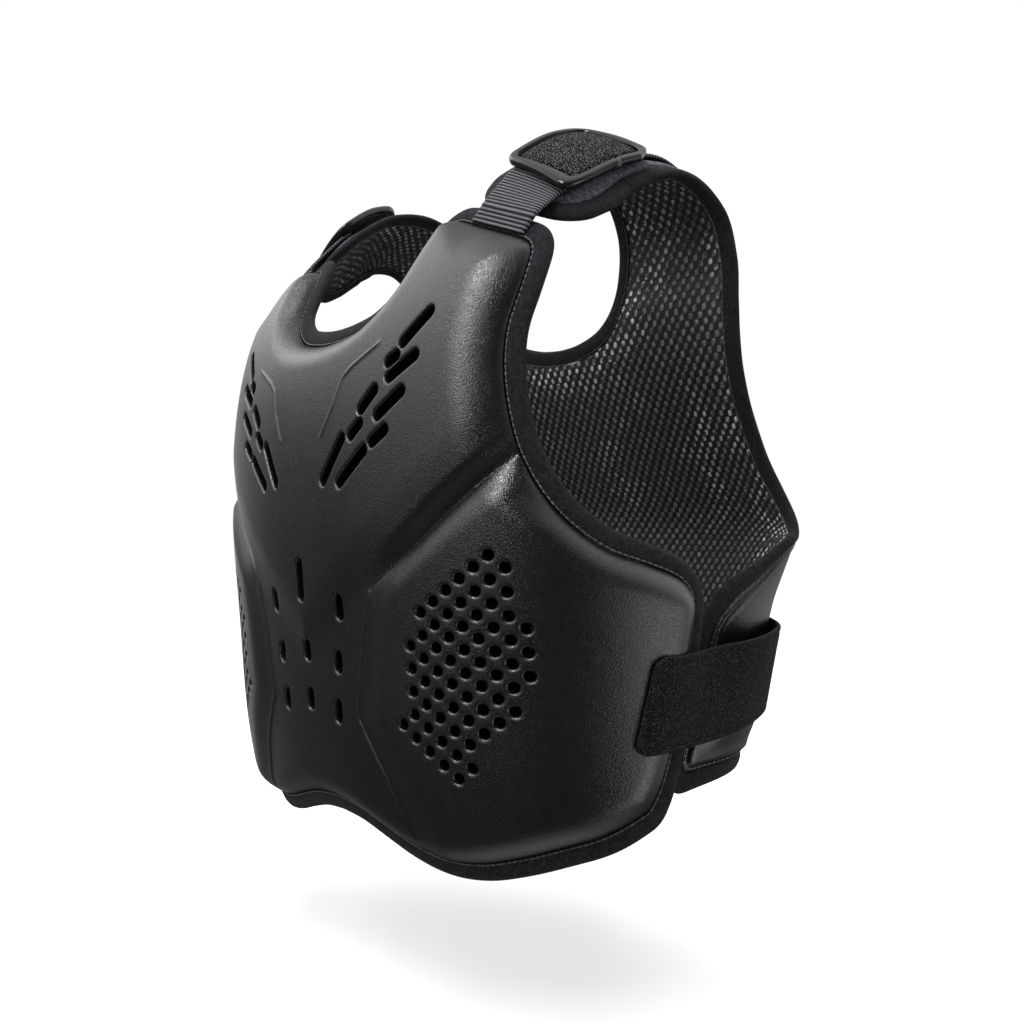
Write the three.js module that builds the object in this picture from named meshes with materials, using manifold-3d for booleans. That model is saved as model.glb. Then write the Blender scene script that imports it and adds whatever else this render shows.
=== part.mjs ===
// A boxing chest protector: a moulded front shell and a padded back, both bound with tape,
// joined over the shoulders by webbing and ring buckles and at the sides by wide straps.
// Millimetres, +Z up, the wearer faces -Y, and the origin lies between the two shoulders.
//
// Each panel is drawn as a flat half pattern, in girth round the body from the centre line and
// in run up the body, and is then laid on a body form. The wearer's right half is a mirror.

import * as THREE from 'three';
import { mergeVertices } from 'three/addons/utils/BufferGeometryUtils.js';
import Module from 'manifold-3d';

const wasm = await Module();
wasm.setup();

// Body form
const SQUARENESS = 2.5;             // exponent of the chest's oval section, 2 would be an ellipse
const SECTION_STEPS = 64;           // steps that measure the girth of a section
const FRONT_FORM = [                // up the front: the centre line, half width and depth of wrap
  { run: -405, y: -100, z: -405, half: 196, wrap: 126 },
  { run: -340, y: -114, z: -340, half: 192, wrap: 128 },
  { run: -270, y: -120, z: -270, half: 193, wrap: 128 },
  { run: -200, y: -124, z: -200, half: 198, wrap: 128 },
  { run: -130, y: -119, z: -130, half: 211, wrap: 125 },
  { run: -80, y: -105, z: -80, half: 217, wrap: 123 },
  { run: -20, y: -72, z: -20, half: 217, wrap: 123 },
];
const BACK_FORM = withRun([         // up the back, over the shoulder and down to the tongue
  { y: 114, z: -375, half: 163, wrap: 84 },
  { y: 122, z: -335, half: 168.5, wrap: 90 },
  { y: 131, z: -263, half: 177, wrap: 97 },
  { y: 133, z: -205, half: 202.5, wrap: 95 },
  { y: 104, z: -155, half: 207, wrap: 58 },
  { y: 77, z: -110, half: 203, wrap: 20 },
  { y: 66, z: -75, half: 200, wrap: 6 },
  { y: 64, z: -50, half: 196, wrap: 8 },
  { y: 57, z: -20.5, half: 193, wrap: 18 },
  { y: 38.5, z: 6.5, half: 190, wrap: 55 },
  { y: 10, z: 21.5, half: 190, wrap: 115 },
  { y: -22, z: 19.5, half: 190, wrap: 148 },
  { y: -50.5, z: 3, half: 190, wrap: 155 },
  { y: -64, z: -8, half: 190, wrap: 155 },
  { y: -82, z: -23, half: 190, wrap: 155 },
]);

// Flat half patterns: matching points up the inner edge (centre line, then neck) and outer edge
const FRONT_RUNGS = [
  { in: [0, -371], out: [214, -356] },
  { in: [0, -354], out: [224, -339] },
  { in: [0, -319], out: [237, -303] },
  { in: [0, -283], out: [245.5, -268] },
  { in: [0, -258], out: [249.5, -250] },
  { in: [0, -242], out: [247, -241] },
  { in: [0, -228], out: [239, -234.5] },
  { in: [0, -208], out: [222, -228] },
  { in: [0, -183], out: [199, -219] },
  { in: [0, -156], out: [176, -199] },
  { in: [0, -128], out: [160, -172] },
  { in: [0, -100], out: [152, -144] },
  { in: [21, -98.5], out: [148.5, -122] },
  { in: [43, -93], out: [148, -105] },
  { in: [62, -78], out: [150, -88] },
  { in: [69, -59], out: [150, -74] },
  { in: [72.5, -46], out: [148.5, -65] },
  { in: [76, -39.5], out: [145, -60.5] },
  { in: [82, -36.5], out: [139, -57] },
];
const FRONT_HEM = [
  [0, -371], [22, -373], [44, -379], [66, -386], [90, -390],
  [115, -388.5], [145, -382.5], [175, -375], [198, -367.5], [214, -356],
];
const BACK_RUNGS = [
  { in: [0, 30], out: [224, 6.5] },
  { in: [0, 48], out: [229, 15] },
  { in: [0, 74], out: [229.5, 50] },
  { in: [0, 101], out: [229.5, 85] },
  { in: [0, 130], out: [228.5, 104] },
  { in: [0, 150], out: [225, 113.5] },
  { in: [0, 168], out: [217, 121] },
  { in: [0, 186], out: [206.5, 131] },
  { in: [0, 204], out: [199, 148] },
  { in: [0, 222], out: [194, 165] },
  { in: [0, 240], out: [183, 181] },
  { in: [0, 258], out: [168, 198] },
  { in: [0, 277], out: [156, 221] },
  { in: [0, 297], out: [151, 250] },
  { in: [22, 299], out: [151, 276] },
  { in: [47, 306.5], out: [153, 301] },
  { in: [65, 320.5], out: [155.5, 328] },
  { in: [76.5, 344], out: [156, 352] },
  { in: [83, 370], out: [154.5, 378] },
  { in: [86.5, 396], out: [152.5, 400] },
  { in: [88, 418], out: [151.7, 420] },
  { in: [89.5, 438], out: [151, 440] },
  { in: [91, 458], out: [150.7, 459] },
  { in: [91, 478], out: [150.6, 477] },
  { in: [90, 496], out: [151, 492] },
  { in: [91, 512], out: [151, 508] },
  { in: [95.5, 522], out: [147, 518] },
  { in: [103.5, 527], out: [139, 524] },
];
const BACK_HEM = [
  [0, 30], [25, 30], [50, 30], [75, 29.5], [100, 28.5], [124.5, 27], [149, 24.5], [174, 20.5],
  [199, 14], [224, 6.5],
];
const FRONT_NECK = 11;              // the rung where the inner edge leaves the centre line
const BACK_NECK = 13;
const PAD_TOP_RUNG = 18;            // the back pad ends here, and the shoulder cover goes on

// Walls
const GAP = 0.35;                   // clearance between pieces
const LINING = 3;                   // mesh lining
const BACK_PAD = 8;                 // padded back
const COVER = 4.5;                  // shoulder cover over the tongue
const EDGE = 2;                     // thickness of a moulded edge
const FRONT_ACROSS = 5;             // cells across half a panel
const BACK_ACROSS = 4;
const FINE_ACROSS = 2;              // the shell's outer face is finer, by these factors
const FINE_UP = 2;
const RIM_ACROSS = 8;               // steps of the fine rim that edge distances are measured to
const RIM_UP = 4;
const TAPE_GAP = 0.9;               // from the seam, because the tape's steps are straight
const TAPE = [                      // section of the edge tape: outward from the seam, and height
  [TAPE_GAP, -3.4], [9.5, -2.8], [11.5, 0], [TAPE_GAP, 2],
];

// Relief of the front shell
const SHELL = 12;                   // thickness of the belly
const CHEST_RISE = 2.5;             // the chest swells above the ribs' upper edge
const CHEST_REACH = 40;
const RIB_RISE = 3.5;
const ROUNDING = [17, 28];          // how far in from the edge the shell rounds off, and along the arm
const ROUND_POWER = [2.2, 1.9];     // 1 would be a flat bevel, 2 an even curve
const ARM_GIRTHS = [88, 112];       // the arm's bevel fades in between these girths
const ARM_HEIGHTS = [-212, -182];
const SEAM_ROLL = 0.12;             // share of the height that rolls up right at the seam
const SEAM_ROLL_WIDTH = 3.5;
const VALLEY = 6;                   // depth of the groove between chest and ribs
const VALLEY_WIDTH = 13;
const BEVEL = 9;                    // run of the rib panel's bevel
const RIB_TOP = [[175, -160], [139, -187], [97, -221], [67, -244]];
const RIB_INNER = [[67, -244], [58, -277], [51, -316], [69, -344], [90, -392]];
const RIB_SLOPE = 0.77;             // climb of the ribs' upper edge towards the side
const BEYOND = 400;                 // a girth outside every pattern

// Openings of the shell, on the flat pattern: slots by their two ends, holes by a lattice
const SLOT = 6.5;                   // width of a chest slot
const CHEST_SLOTS = [
  [[105, -99], [90, -113]], [[86.5, -118.5], [82.5, -122.5]], [[100, -120.5], [83, -130]],
  [[72, -136.5], [62, -146]], [[93, -138.5], [77, -149.5]], [[62, -152], [55, -159]],
  [[82.5, -158], [73, -164]], [[46, -161], [29.5, -183]], [[68, -166], [46, -184.5]],
];
const BELLY_SLOT = 7;
const BELLY_SLOTS = [
  [[0, -231], [0, -249]], [[38.5, -250], [38.5, -258]], [[0, -279], [0, -285]],
  [[34, -283], [34, -289]], [[0, -308], [0, -314]], [[31, -311], [31, -318]],
];
const HOLE = 6.2;
const HOLE_PITCH = [13.2, 10.8];    // half pitch of the staggered rows, across and up
const HOLE_ORIGIN = [130, -283];
const HOLE_FIELD = [
  [148, -216], [157, -230], [164, -270], [163, -290], [121, -349], [89, -313], [101, -252],
];
const HOLE_ROWS = 12;               // rows and columns tried each way from the origin
const HOLE_COLUMNS = 8;
const HOLE_SIDES = 6;
const CUTTER_REACH = 40;

// Shoulder fastening, on the back's pattern
const BUCKLE_HALF = [28.4, 27.8];   // to the middle of the bars, across and along the strap
const BUCKLE_CORNERS = {            // where the bars' middles meet: girth, run and height over the pattern
  frontIn: [92, 505.5, 11.4],
  frontOut: [143.5, 520.5, 12.4],
  rearIn: [101, 452.5, 15],
  rearOut: [153, 436, 11],
};
const BUCKLE_BAR = 2.5;             // radius of a bar
const BUCKLE_CORNER = 7;
const BAR_SIDES = 6;
const CORNER_STEPS = 2;
const LOOP_PAD_HALF = 24.6;
const LOOP_PAD_STATIONS = [-24.2, -16, -8, 0, 8, 16, 24.2];
const LOOP_PAD = 3.8;
const LOOP_PAD_DROP = -2.6;         // lower face under the bars' middle
const WEBBING_HALF = 23;
const WEBBING = 1.8;
const WEBBING_LIFT = 6.4;           // over the shoulder cover
const WEBBING_SHARE = 0.62;         // it leaves the tab nearer to the arm than to the neck
const WEBBING_FRONT = [{ out: 1, lift: 2.8 }, { out: 7, lift: 3.4 }, { out: 12, lift: 4.2 }];
const WEBBING_BACK = [-32, -26.5, -21];
const KEEPER_HALF = 20;
const KEEPER_START = 26;            // under the rear bar
const KEEPER_END = [[101, 394], [141, 390]];
const KEEPER_STEPS = 6;
const KEEPER_LIFT = 6.4;

// Side straps
const STRAP_TOP = -273.5;
const STRAP_BOTTOM = -323.5;
const STRAP = 2.4;
const STRAP_SLANT = 13;             // the front end is cut on a slant
const STRAP_LIFT = 1.2;             // over what it lies on
const STRAP_FRONT = [204.5, 213, 222];      // girths where it lies on the shell
const STRAP_SPAN_HIGH = [[200, 2, 1], [203, 29.5, 3.5], [195, 57.5, 6], [177.5, 83.5, 7]];  // x, y and rise
const STRAP_SPAN_LOW = [[198, 1, 1], [195.5, 27.5, 3.5], [187, 52.5, 6], [171, 78, 7]];
const STRAP_BACK = [150, 132, 114];         // girths where it is sewn to the back pad
const STRAP_RISE = 7;               // how much higher it is there
const STRAP_STEPS = 18;

const LEATHER = { color: 0x17181a, roughness: 0.5, metalness: 0 };
const TAPE_CLOTH = { color: 0x1b1c22, roughness: 0.9, metalness: 0 };
const MESH_CLOTH = { color: 0x26272a, roughness: 0.75, metalness: 0 };
const WEB_CLOTH = { color: 0x1a1a1d, roughness: 0.8, metalness: 0 };
const LOOP_CLOTH = { color: 0x1e1f22, roughness: 0.95, metalness: 0 };
const PLASTIC = { color: 0x0e0e10, roughness: 0.3, metalness: 0 };

// Adds the run along the profile to each row of a form.
function withRun(rows) {
  let run = 0;
  return rows.map((row, i) => {
    if (i > 0) run += Math.hypot(row.y - rows[i - 1].y, row.z - rows[i - 1].z);
    return { run, ...row };
  });
}

// Smooth value of a column at a run: cubic steps whose slopes are those of the neighbours.
function track(rows, column, run) {
  const last = rows.length - 1;
  let i = 0;
  while (i < last - 1 && run > rows[i + 1].run) i++;
  const slope = (k) => {
    const a = rows[Math.max(k - 1, 0)];
    const b = rows[Math.min(k + 1, last)];
    return (b[column] - a[column]) / (b.run - a.run);
  };
  const width = rows[i + 1].run - rows[i].run;
  const t = (run - rows[i].run) / width;
  const rise = 3 * t * t - 2 * t * t * t;
  const start = t * t * t - 2 * t * t + t;
  const end = t * t * t - t * t;
  return rows[i][column] * (1 - rise) + rows[i + 1][column] * rise
    + width * (start * slope(i) + end * slope(i + 1));
}

// Point of the oval at an angle from the centre line: sideways, and back from the front line.
function oval(angle, half, wrap) {
  const power = 2 / SQUARENESS;
  return [half * Math.sin(angle) ** power, wrap * (1 - Math.max(Math.cos(angle), 0) ** power)];
}

// Point of a section at a girth: on the oval to the side, then straight on.
function section(girth, half, wrap) {
  let length = 0;
  let before = [0, 0];
  const step = Math.PI / 2 / SECTION_STEPS;
  for (let i = 1; i <= SECTION_STEPS; i++) {
    const here = oval(i * step, half, wrap);
    const part = Math.hypot(here[0] - before[0], here[1] - before[1]);
    if (length + part >= girth) return oval((i - 1 + (girth - length) / part) * step, half, wrap);
    length += part;
    before = here;
  }
  return [half, wrap + girth - length];
}

// Place of a pattern point on a body form. A negative girth is the wearer's right side.
function onForm(rows, facing, girth, run) {
  const [side, back] = section(Math.abs(girth), track(rows, 'half', run), track(rows, 'wrap', run));
  const dy = track(rows, 'y', run + 0.5) - track(rows, 'y', run - 0.5);
  const dz = track(rows, 'z', run + 0.5) - track(rows, 'z', run - 0.5);
  const level = facing < 0 ? [-1, 0] : [dz / Math.hypot(dy, dz), -dy / Math.hypot(dy, dz)];
  return new THREE.Vector3(
    Math.sign(girth) * side,
    track(rows, 'y', run) - level[0] * back,
    track(rows, 'z', run) - level[1] * back,
  );
}

// Place of a pattern point lifted off the form along its outward normal.
function lifted(rows, facing, girth, run, lift) {
  const d = 0.5;
  const across = onForm(rows, facing, girth + d, run).sub(onForm(rows, facing, girth - d, run));
  const along = onForm(rows, facing, girth, run + d).sub(onForm(rows, facing, girth, run - d));
  const normal = across.cross(along).normalize().multiplyScalar(-facing);
  return onForm(rows, facing, girth, run).addScaledVector(normal, lift);
}

const onFront = ([girth, run], lift) => lifted(FRONT_FORM, -1, girth, run, lift);
const onBack = ([girth, run], lift) => lifted(BACK_FORM, 1, girth, run, lift);

// Smooth curve through flat points, run from 0 to 1 with an equal share for each point.
function smooth(points) {
  const rows = points.map(([a, b], i) => ({ run: i, a, b }));
  const last = points.length - 1;
  return (t) => [track(rows, 'a', t * last), track(rows, 'b', t * last)];
}

const mix = (a, b, t) => [a[0] + (b[0] - a[0]) * t, a[1] + (b[1] - a[1]) * t];

// Half pattern as a function of u (centre or neck to outer edge) and rung number v.
function pattern(rungs, hem, neckRung) {
  const last = rungs.length - 1;
  const centre = smooth(rungs.slice(0, neckRung + 1).map((rung) => rung.in));
  const neck = smooth(rungs.slice(neckRung).map((rung) => rung.in));
  const outer = smooth(rungs.map((rung) => rung.out));
  const bottom = smooth(hem);
  return (u, v) => {
    const left = v <= neckRung ? centre(v / neckRung) : neck((v - neckRung) / (last - neckRung));
    const straight = mix(left, outer(v / last), u);
    const drop = bottom(u)[1] - mix(rungs[0].in, rungs[0].out, u)[1];
    straight[1] += drop * Math.max(1 - v / neckRung, 0) ** 2;
    return straight;
  };
}

const frontPattern = pattern(FRONT_RUNGS, FRONT_HEM, FRONT_NECK);
const backPattern = pattern(BACK_RUNGS, BACK_HEM, BACK_NECK);
const FRONT_TOP = FRONT_RUNGS.length - 1;
const BACK_TOP = BACK_RUNGS.length - 1;

// Rim of a half pattern as a list of [u, v]: hem, outer edge, top, and down the neck.
function rim(across, up, bottom, top, neck) {
  const path = [];
  const rows = (top - bottom) * up;
  const stop = (Math.max(neck, bottom) - bottom) * up;
  for (let i = 0; i < across; i++) path.push([i / across, bottom]);
  for (let j = 0; j < rows; j++) path.push([1, bottom + j / up]);
  for (let i = across; i > 0; i--) path.push([i / across, top]);
  for (let j = rows; j >= stop; j--) path.push([0, bottom + j / up]);
  return path;
}

// Distance on the flat pattern from a point to a line of points.
function distance(point, line) {
  let least = Infinity;
  for (let i = 0; i + 1 < line.length; i++) {
    const [ax, ay] = line[i];
    const [bx, by] = [line[i + 1][0] - ax, line[i + 1][1] - ay];
    const along = ((point[0] - ax) * bx + (point[1] - ay) * by) / (bx * bx + by * by);
    const t = THREE.MathUtils.clamp(along, 0, 1);
    least = Math.min(least, Math.hypot(point[0] - ax - bx * t, point[1] - ay - by * t));
  }
  return least;
}

// True where a flat point lies inside a closed outline.
function inside(point, outline) {
  let odd = false;
  outline.forEach(([ax, ay], i) => {
    const [bx, by] = outline[(i + 1) % outline.length];
    const crosses = (ay > point[1]) !== (by > point[1]);
    if (crosses && point[0] < ax + (bx - ax) * (point[1] - ay) / (by - ay)) odd = !odd;
  });
  return odd;
}

// Quarter circle from 0 at the edge to 1 at a given depth.
const round = (depth, reach) => Math.sqrt(1 - (1 - Math.min(depth / reach, 1)) ** 2);

// Share of the full height at a depth from the seam: a small roll, then a round that flattens at the arm.
function rolledEdge([girth, run], depth) {
  const arm = THREE.MathUtils.smoothstep(girth, ...ARM_GIRTHS)
    * THREE.MathUtils.smoothstep(run, ...ARM_HEIGHTS);
  const reach = THREE.MathUtils.lerp(...ROUNDING, arm);
  const power = THREE.MathUtils.lerp(...ROUND_POWER, arm);
  const roll = SEAM_ROLL * round(depth, SEAM_ROLL_WIDTH);
  return roll + (1 - SEAM_ROLL) * (1 - (1 - Math.min(depth / reach, 1)) ** power);
}

const frontEdge = rim(RIM_ACROSS, RIM_UP, 0, FRONT_TOP, FRONT_NECK).map(([u, v]) => frontPattern(u, v));
const [ribCorner, ribFoot] = [RIB_INNER[0], RIB_INNER[RIB_INNER.length - 1]];
const ribField = [...RIB_TOP, ...RIB_INNER.slice(1), [BEYOND, ribFoot[1]], [BEYOND, RIB_TOP[0][1]]];

// Thickness of the front shell: rounded edge, raised chest and ribs, and the groove between.
function shellThickness([girth, run]) {
  const point = [Math.abs(girth), run];
  const edge = rolledEdge(point, distance(point, frontEdge));
  const fromTop = distance(point, RIB_TOP);
  const fromRib = Math.min(fromTop, distance(point, RIB_INNER));
  let body = SHELL;
  if (inside(point, ribField)) {
    body += RIB_RISE * THREE.MathUtils.smoothstep(fromRib, 0, BEVEL);
  } else {
    const above = run - ribCorner[1] - (point[0] - ribCorner[0]) * RIB_SLOPE;
    const chest = THREE.MathUtils.smoothstep(above, 0, CHEST_REACH);
    const groove = 1 - THREE.MathUtils.smoothstep(fromTop, 0, VALLEY_WIDTH);
    body += CHEST_RISE * chest - VALLEY * groove;
  }
  return EDGE + (body - EDGE) * edge;
}

// Collects triangles by place, and gives one closed geometry.
class Facets {
  constructor() {
    this.places = [];
  }

  triangle(a, b, c) {
    for (const p of [a, b, c]) this.places.push(p.x, p.y, p.z);
  }

  quad(a, b, c, d) {
    this.triangle(a, b, c);
    this.triangle(a, c, d);
  }

  // The mirror image in the centre plane, with the faces turned round.
  mirrored() {
    const image = new Facets();
    for (let i = 0; i < this.places.length; i += 9) {
      for (const k of [i, i + 6, i + 3]) {
        image.places.push(-this.places[k], this.places[k + 1], this.places[k + 2]);
      }
    }
    return image;
  }

  // Adds the mirror image to what is here, which makes a whole from a half.
  mirror() {
    this.places = this.places.concat(this.mirrored().places);
    return this;
  }

  // Six times the volume that the triangles close in, negative where they face inwards.
  volume() {
    const corner = (i) => new THREE.Vector3().fromArray(this.places, i);
    let sum = 0;
    for (let i = 0; i < this.places.length; i += 9) {
      sum += corner(i).dot(corner(i + 3).cross(corner(i + 6)));
    }
    return sum;
  }

  geometry() {
    const shape = new THREE.BufferGeometry();
    shape.setAttribute('position', new THREE.Float32BufferAttribute(this.places, 3));
    const solid = mergeVertices(shape, 1e-4);
    if (this.volume() < 0) solid.getIndex().array.reverse();
    return solid;
  }
}

// One face of a half panel between two rungs, turned round for the inner face.
function face(facets, place, across, up, bottom, top, turned) {
  const rows = (top - bottom) * up;
  for (let i = 0; i < across; i++) {
    for (let j = 0; j < rows; j++) {
      const [u0, u1] = [i / across, (i + 1) / across];
      const [v0, v1] = [bottom + j / up, bottom + (j + 1) / up];
      const [a, b, c, d] = [place(u0, v0), place(u1, v0), place(u1, v1), place(u0, v1)];
      if (turned) facets.quad(a, d, c, b);
      else facets.quad(a, b, c, d);
    }
  }
}

// Wall between two rims of one panel, where the first has whole multiples of the second's steps.
function wall(facets, outer, inner) {
  for (const { many, one } of pairs(outer, inner)) {
    const middle = Math.floor((many.length - 1) / 2);
    for (let k = 0; k + 1 < many.length; k++) {
      facets.triangle(many[k + 1][2], many[k][2], one[k < middle ? 0 : 1][2]);
    }
    facets.triangle(many[middle][2], one[0][2], one[1][2]);
  }
}

// Groups the finer rim's points by the steps of the coarser rim.
function pairs(outer, inner) {
  const groups = [];
  let at = 0;
  for (let k = 0; k + 1 < inner.length; k++) {
    const same = (p) => p[0] === inner[k + 1][0] && p[1] === inner[k + 1][1];
    let end = at + 1;
    while (!same(outer[end])) end++;
    groups.push({ many: outer.slice(at, end + 1), one: [inner[k], inner[k + 1]] });
    at = end;
  }
  return groups;
}

// Half panel between an outer and an inner lift. A finer outer face keeps the rim's coarse steps,
// so that the rim stays clear of the tape.
function panel({ on, flat, across, bottom, top, neck, outer, inner, fineAcross = 1, fineUp = 1 }) {
  const facets = new Facets();
  const innerPlace = (u, v) => on(flat(u, v), inner);
  const outerPlace = (u, v) => on(flat(u, v), outer(flat(u, v)));
  const fine = rim(across * fineAcross, fineUp, bottom, top, neck)
    .map(([u, v]) => [u, v, outerPlace(u, v)]);
  const coarse = rim(across, 1, bottom, top, neck)
    .map(([u, v]) => [u, v, innerPlace(u, v)]);
  if (neck <= bottom) {
    fine.push(fine[0]);
    coarse.push(coarse[0]);
  }
  const onRim = new Map();
  for (const { many } of pairs(fine, coarse)) {
    const [first, last] = [many[0][2], many[many.length - 1][2]];
    many.forEach(([u, v, place], k) => {
      if (k > 0 && k + 1 < many.length) place.lerpVectors(first, last, k / (many.length - 1));
      onRim.set(`${u},${v}`, place);
    });
  }
  const facePlace = (u, v) => onRim.get(`${u},${v}`) ?? outerPlace(u, v);
  face(facets, facePlace, across * fineAcross, fineUp, bottom, top, false);
  face(facets, innerPlace, across, 1, bottom, top, true);
  wall(facets, fine, coarse);
  return facets;
}

// Edge tape: its section carried round the whole rim of a panel, square to the seam.
function tape(on, flat, across, top, neck) {
  const right = rim(across, 1, 0, top, neck).map(([u, v]) => flat(u, v));
  const left = right.slice(1, -1).reverse().map(([girth, run]) => [-girth, run]);
  const loop = [...right, ...left];
  const count = loop.length;
  const rings = loop.map((here, i) => {
    const before = loop[(i + count - 1) % count];
    const after = loop[(i + 1) % count];
    const length = Math.hypot(after[0] - before[0], after[1] - before[1]);
    const outward = [(after[1] - before[1]) / length, (before[0] - after[0]) / length];
    return TAPE.map(([out, lift]) => on([here[0] + outward[0] * out, here[1] + outward[1] * out], lift));
  });
  return sweep(rings, true);
}

// Solid through a list of rings of points, open with two flat ends or closed into a loop.
function sweep(rings, closed = false) {
  const facets = new Facets();
  const steps = closed ? rings.length : rings.length - 1;
  for (let i = 0; i < steps; i++) {
    const ring = rings[i];
    const next = rings[(i + 1) % rings.length];
    ring.forEach((p, k) => {
      const after = (k + 1) % ring.length;
      facets.quad(p, ring[after], next[after], next[k]);
    });
  }
  if (!closed) {
    const first = rings[0];
    const last = rings[rings.length - 1];
    for (let k = 1; k + 1 < first.length; k++) {
      facets.triangle(first[k + 1], first[k], first[0]);
      facets.triangle(last[0], last[k], last[k + 1]);
    }
  }
  return facets;
}

// Girth, run and height in the buckle's own directions, between its four corners.
function onStrap(across, back) {
  const { frontIn, frontOut, rearIn, rearOut } = BUCKLE_CORNERS;
  const [u, v] = [(across / BUCKLE_HALF[0] + 1) / 2, (back / BUCKLE_HALF[1] + 1) / 2];
  return frontIn.map((value, k) => {
    const front = value + (frontOut[k] - value) * u;
    const rear = rearIn[k] + (rearOut[k] - rearIn[k]) * u;
    return front + (rear - front) * v;
  });
}

// Ring of points round a band: its lower face across, then its upper face back again.
function bandRing(on, at, lift, thickness) {
  const sides = [-1, 0, 1];
  const raise = (side) => lift + (at(side)[2] ?? 0);
  const lower = sides.map((side) => on(at(side), raise(side)));
  const upper = sides.map((side) => on(at(side), raise(side) + thickness));
  return [...lower, ...upper.reverse()];
}

// Fuzzy end of the strap, level with the buckle's bars and inside them.
function loopPad() {
  return sweep(LOOP_PAD_STATIONS.map((back) => (
    bandRing(onBack, (side) => onStrap(side * LOOP_PAD_HALF, back), LOOP_PAD_DROP, LOOP_PAD)
  )));
}

// Keeper strap: from under the buckle's rear bar down the back of the shoulder.
function keeper() {
  const [inner, outer] = [-1, 1].map((side) => onStrap(side * KEEPER_HALF, KEEPER_START));
  return sweep(Array.from({ length: KEEPER_STEPS + 1 }, (_, i) => {
    const t = i / KEEPER_STEPS;
    const [left, right] = [mix(inner, KEEPER_END[0], t), mix(outer, KEEPER_END[1], t)];
    return bandRing(onBack, (side) => mix(left, right, (side + 1) / 2), KEEPER_LIFT, WEBBING);
  }));
}

// Ring buckle: a round bar carried round a rounded rectangle that follows the shoulder.
function buckle() {
  const path = new THREE.Path();
  const [x, y] = BUCKLE_HALF;
  const r = BUCKLE_CORNER;
  path.moveTo(x, 0);
  path.lineTo(x, y - r);
  path.absarc(x - r, y - r, r, 0, Math.PI / 2, false);
  path.lineTo(0, y);
  path.lineTo(r - x, y);
  path.absarc(r - x, y - r, r, Math.PI / 2, Math.PI, false);
  path.lineTo(-x, 0);
  path.lineTo(-x, r - y);
  path.absarc(r - x, r - y, r, Math.PI, Math.PI * 1.5, false);
  path.lineTo(0, -y);
  path.lineTo(x - r, -y);
  path.absarc(x - r, r - y, r, Math.PI * 1.5, Math.PI * 2, false);
  path.closePath();
  const loop = path.getPoints(CORNER_STEPS).filter((p, i, all) => i === 0 || p.distanceTo(all[i - 1]) > 0.01);
  if (loop[0].distanceTo(loop[loop.length - 1]) < 0.01) loop.pop();
  const count = loop.length;
  const rings = loop.map((here, i) => {
    const out = loop[(i + 1) % count].clone().sub(loop[(i + count - 1) % count]).normalize();
    return Array.from({ length: BAR_SIDES }, (_, k) => {
      const angle = (k + 0.5) * Math.PI * 2 / BAR_SIDES;
      const side = BUCKLE_BAR * Math.cos(angle);
      const [girth, run, height] = onStrap(here.x + out.y * side, here.y - out.x * side);
      return onBack([girth, run], height + BUCKLE_BAR * Math.sin(angle));
    });
  });
  return sweep(rings, true);
}

// Shoulder webbing: from over the front's edge tape up to the pad inside the buckle.
function webbing() {
  const [top, left] = [frontPattern(WEBBING_SHARE, FRONT_TOP), frontPattern(0, FRONT_TOP)];
  const along = [top[0] - left[0], top[1] - left[1]];
  const size = Math.hypot(...along);
  const across = [along[0] / size, along[1] / size];
  const outward = [-across[1], across[0]];
  const rings = WEBBING_FRONT.map(({ out, lift }) => {
    const at = (side) => [
      top[0] + across[0] * side * WEBBING_HALF + outward[0] * out,
      top[1] + across[1] * side * WEBBING_HALF + outward[1] * out,
    ];
    return bandRing(onFront, at, lift, WEBBING);
  });
  for (const back of WEBBING_BACK) {
    const at = (side) => onStrap(side * WEBBING_HALF, back).slice(0, 2);
    rings.push(bandRing(onBack, at, WEBBING_LIFT, WEBBING));
  }
  return sweep(rings);
}

// Side strap: two edges that lie on the shell, span the gap and are sewn to the back pad.
function sideStrap() {
  const edge = (height, slant, acrossGap) => {
    const front = STRAP_FRONT.map((girth) => {
      const flat = [girth + slant, height];
      return onFront(flat, shellThickness(flat) + STRAP_LIFT);
    });
    const span = acrossGap.map(([x, y, rise]) => new THREE.Vector3(x, y, height + rise));
    const run = backRunAt(height + STRAP_RISE);
    const back = STRAP_BACK.map((girth) => onBack([girth, run], BACK_PAD + STRAP_LIFT));
    return new THREE.CatmullRomCurve3([...front, ...span, ...back], false, 'centripetal');
  };
  const high = edge(STRAP_TOP, STRAP_SLANT, STRAP_SPAN_HIGH);
  const low = edge(STRAP_BOTTOM, 0, STRAP_SPAN_LOW);
  const rings = Array.from({ length: STRAP_STEPS + 1 }, (_, i) => {
    const t = i / STRAP_STEPS;
    const [a, b] = [low.getPoint(t), high.getPoint(t)];
    const forward = low.getTangent(t).add(high.getTangent(t));
    const out = forward.cross(new THREE.Vector3(0, 0, 1)).normalize().multiplyScalar(STRAP);
    return [a, b, b.clone().add(out), a.clone().add(out)];
  });
  return sweep(rings);
}

// Run up the back's form at which its centre line has a given height.
function backRunAt(height) {
  let run = 0;
  while (track(BACK_FORM, 'z', run) < height) run += 0.5;
  return run;
}

function toManifold(geometry) {
  const vertProperties = new Float32Array(geometry.getAttribute('position').array);
  const triVerts = new Uint32Array(geometry.getIndex().array);
  return new wasm.Manifold(new wasm.Mesh({ numProp: 3, vertProperties, triVerts }));
}

function fromManifold(solid) {
  const mesh = solid.getMesh();
  const shape = new THREE.BufferGeometry();
  shape.setAttribute('position', new THREE.Float32BufferAttribute(mesh.vertProperties, 3));
  shape.setIndex(Array.from(mesh.triVerts));
  return shape;
}

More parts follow.
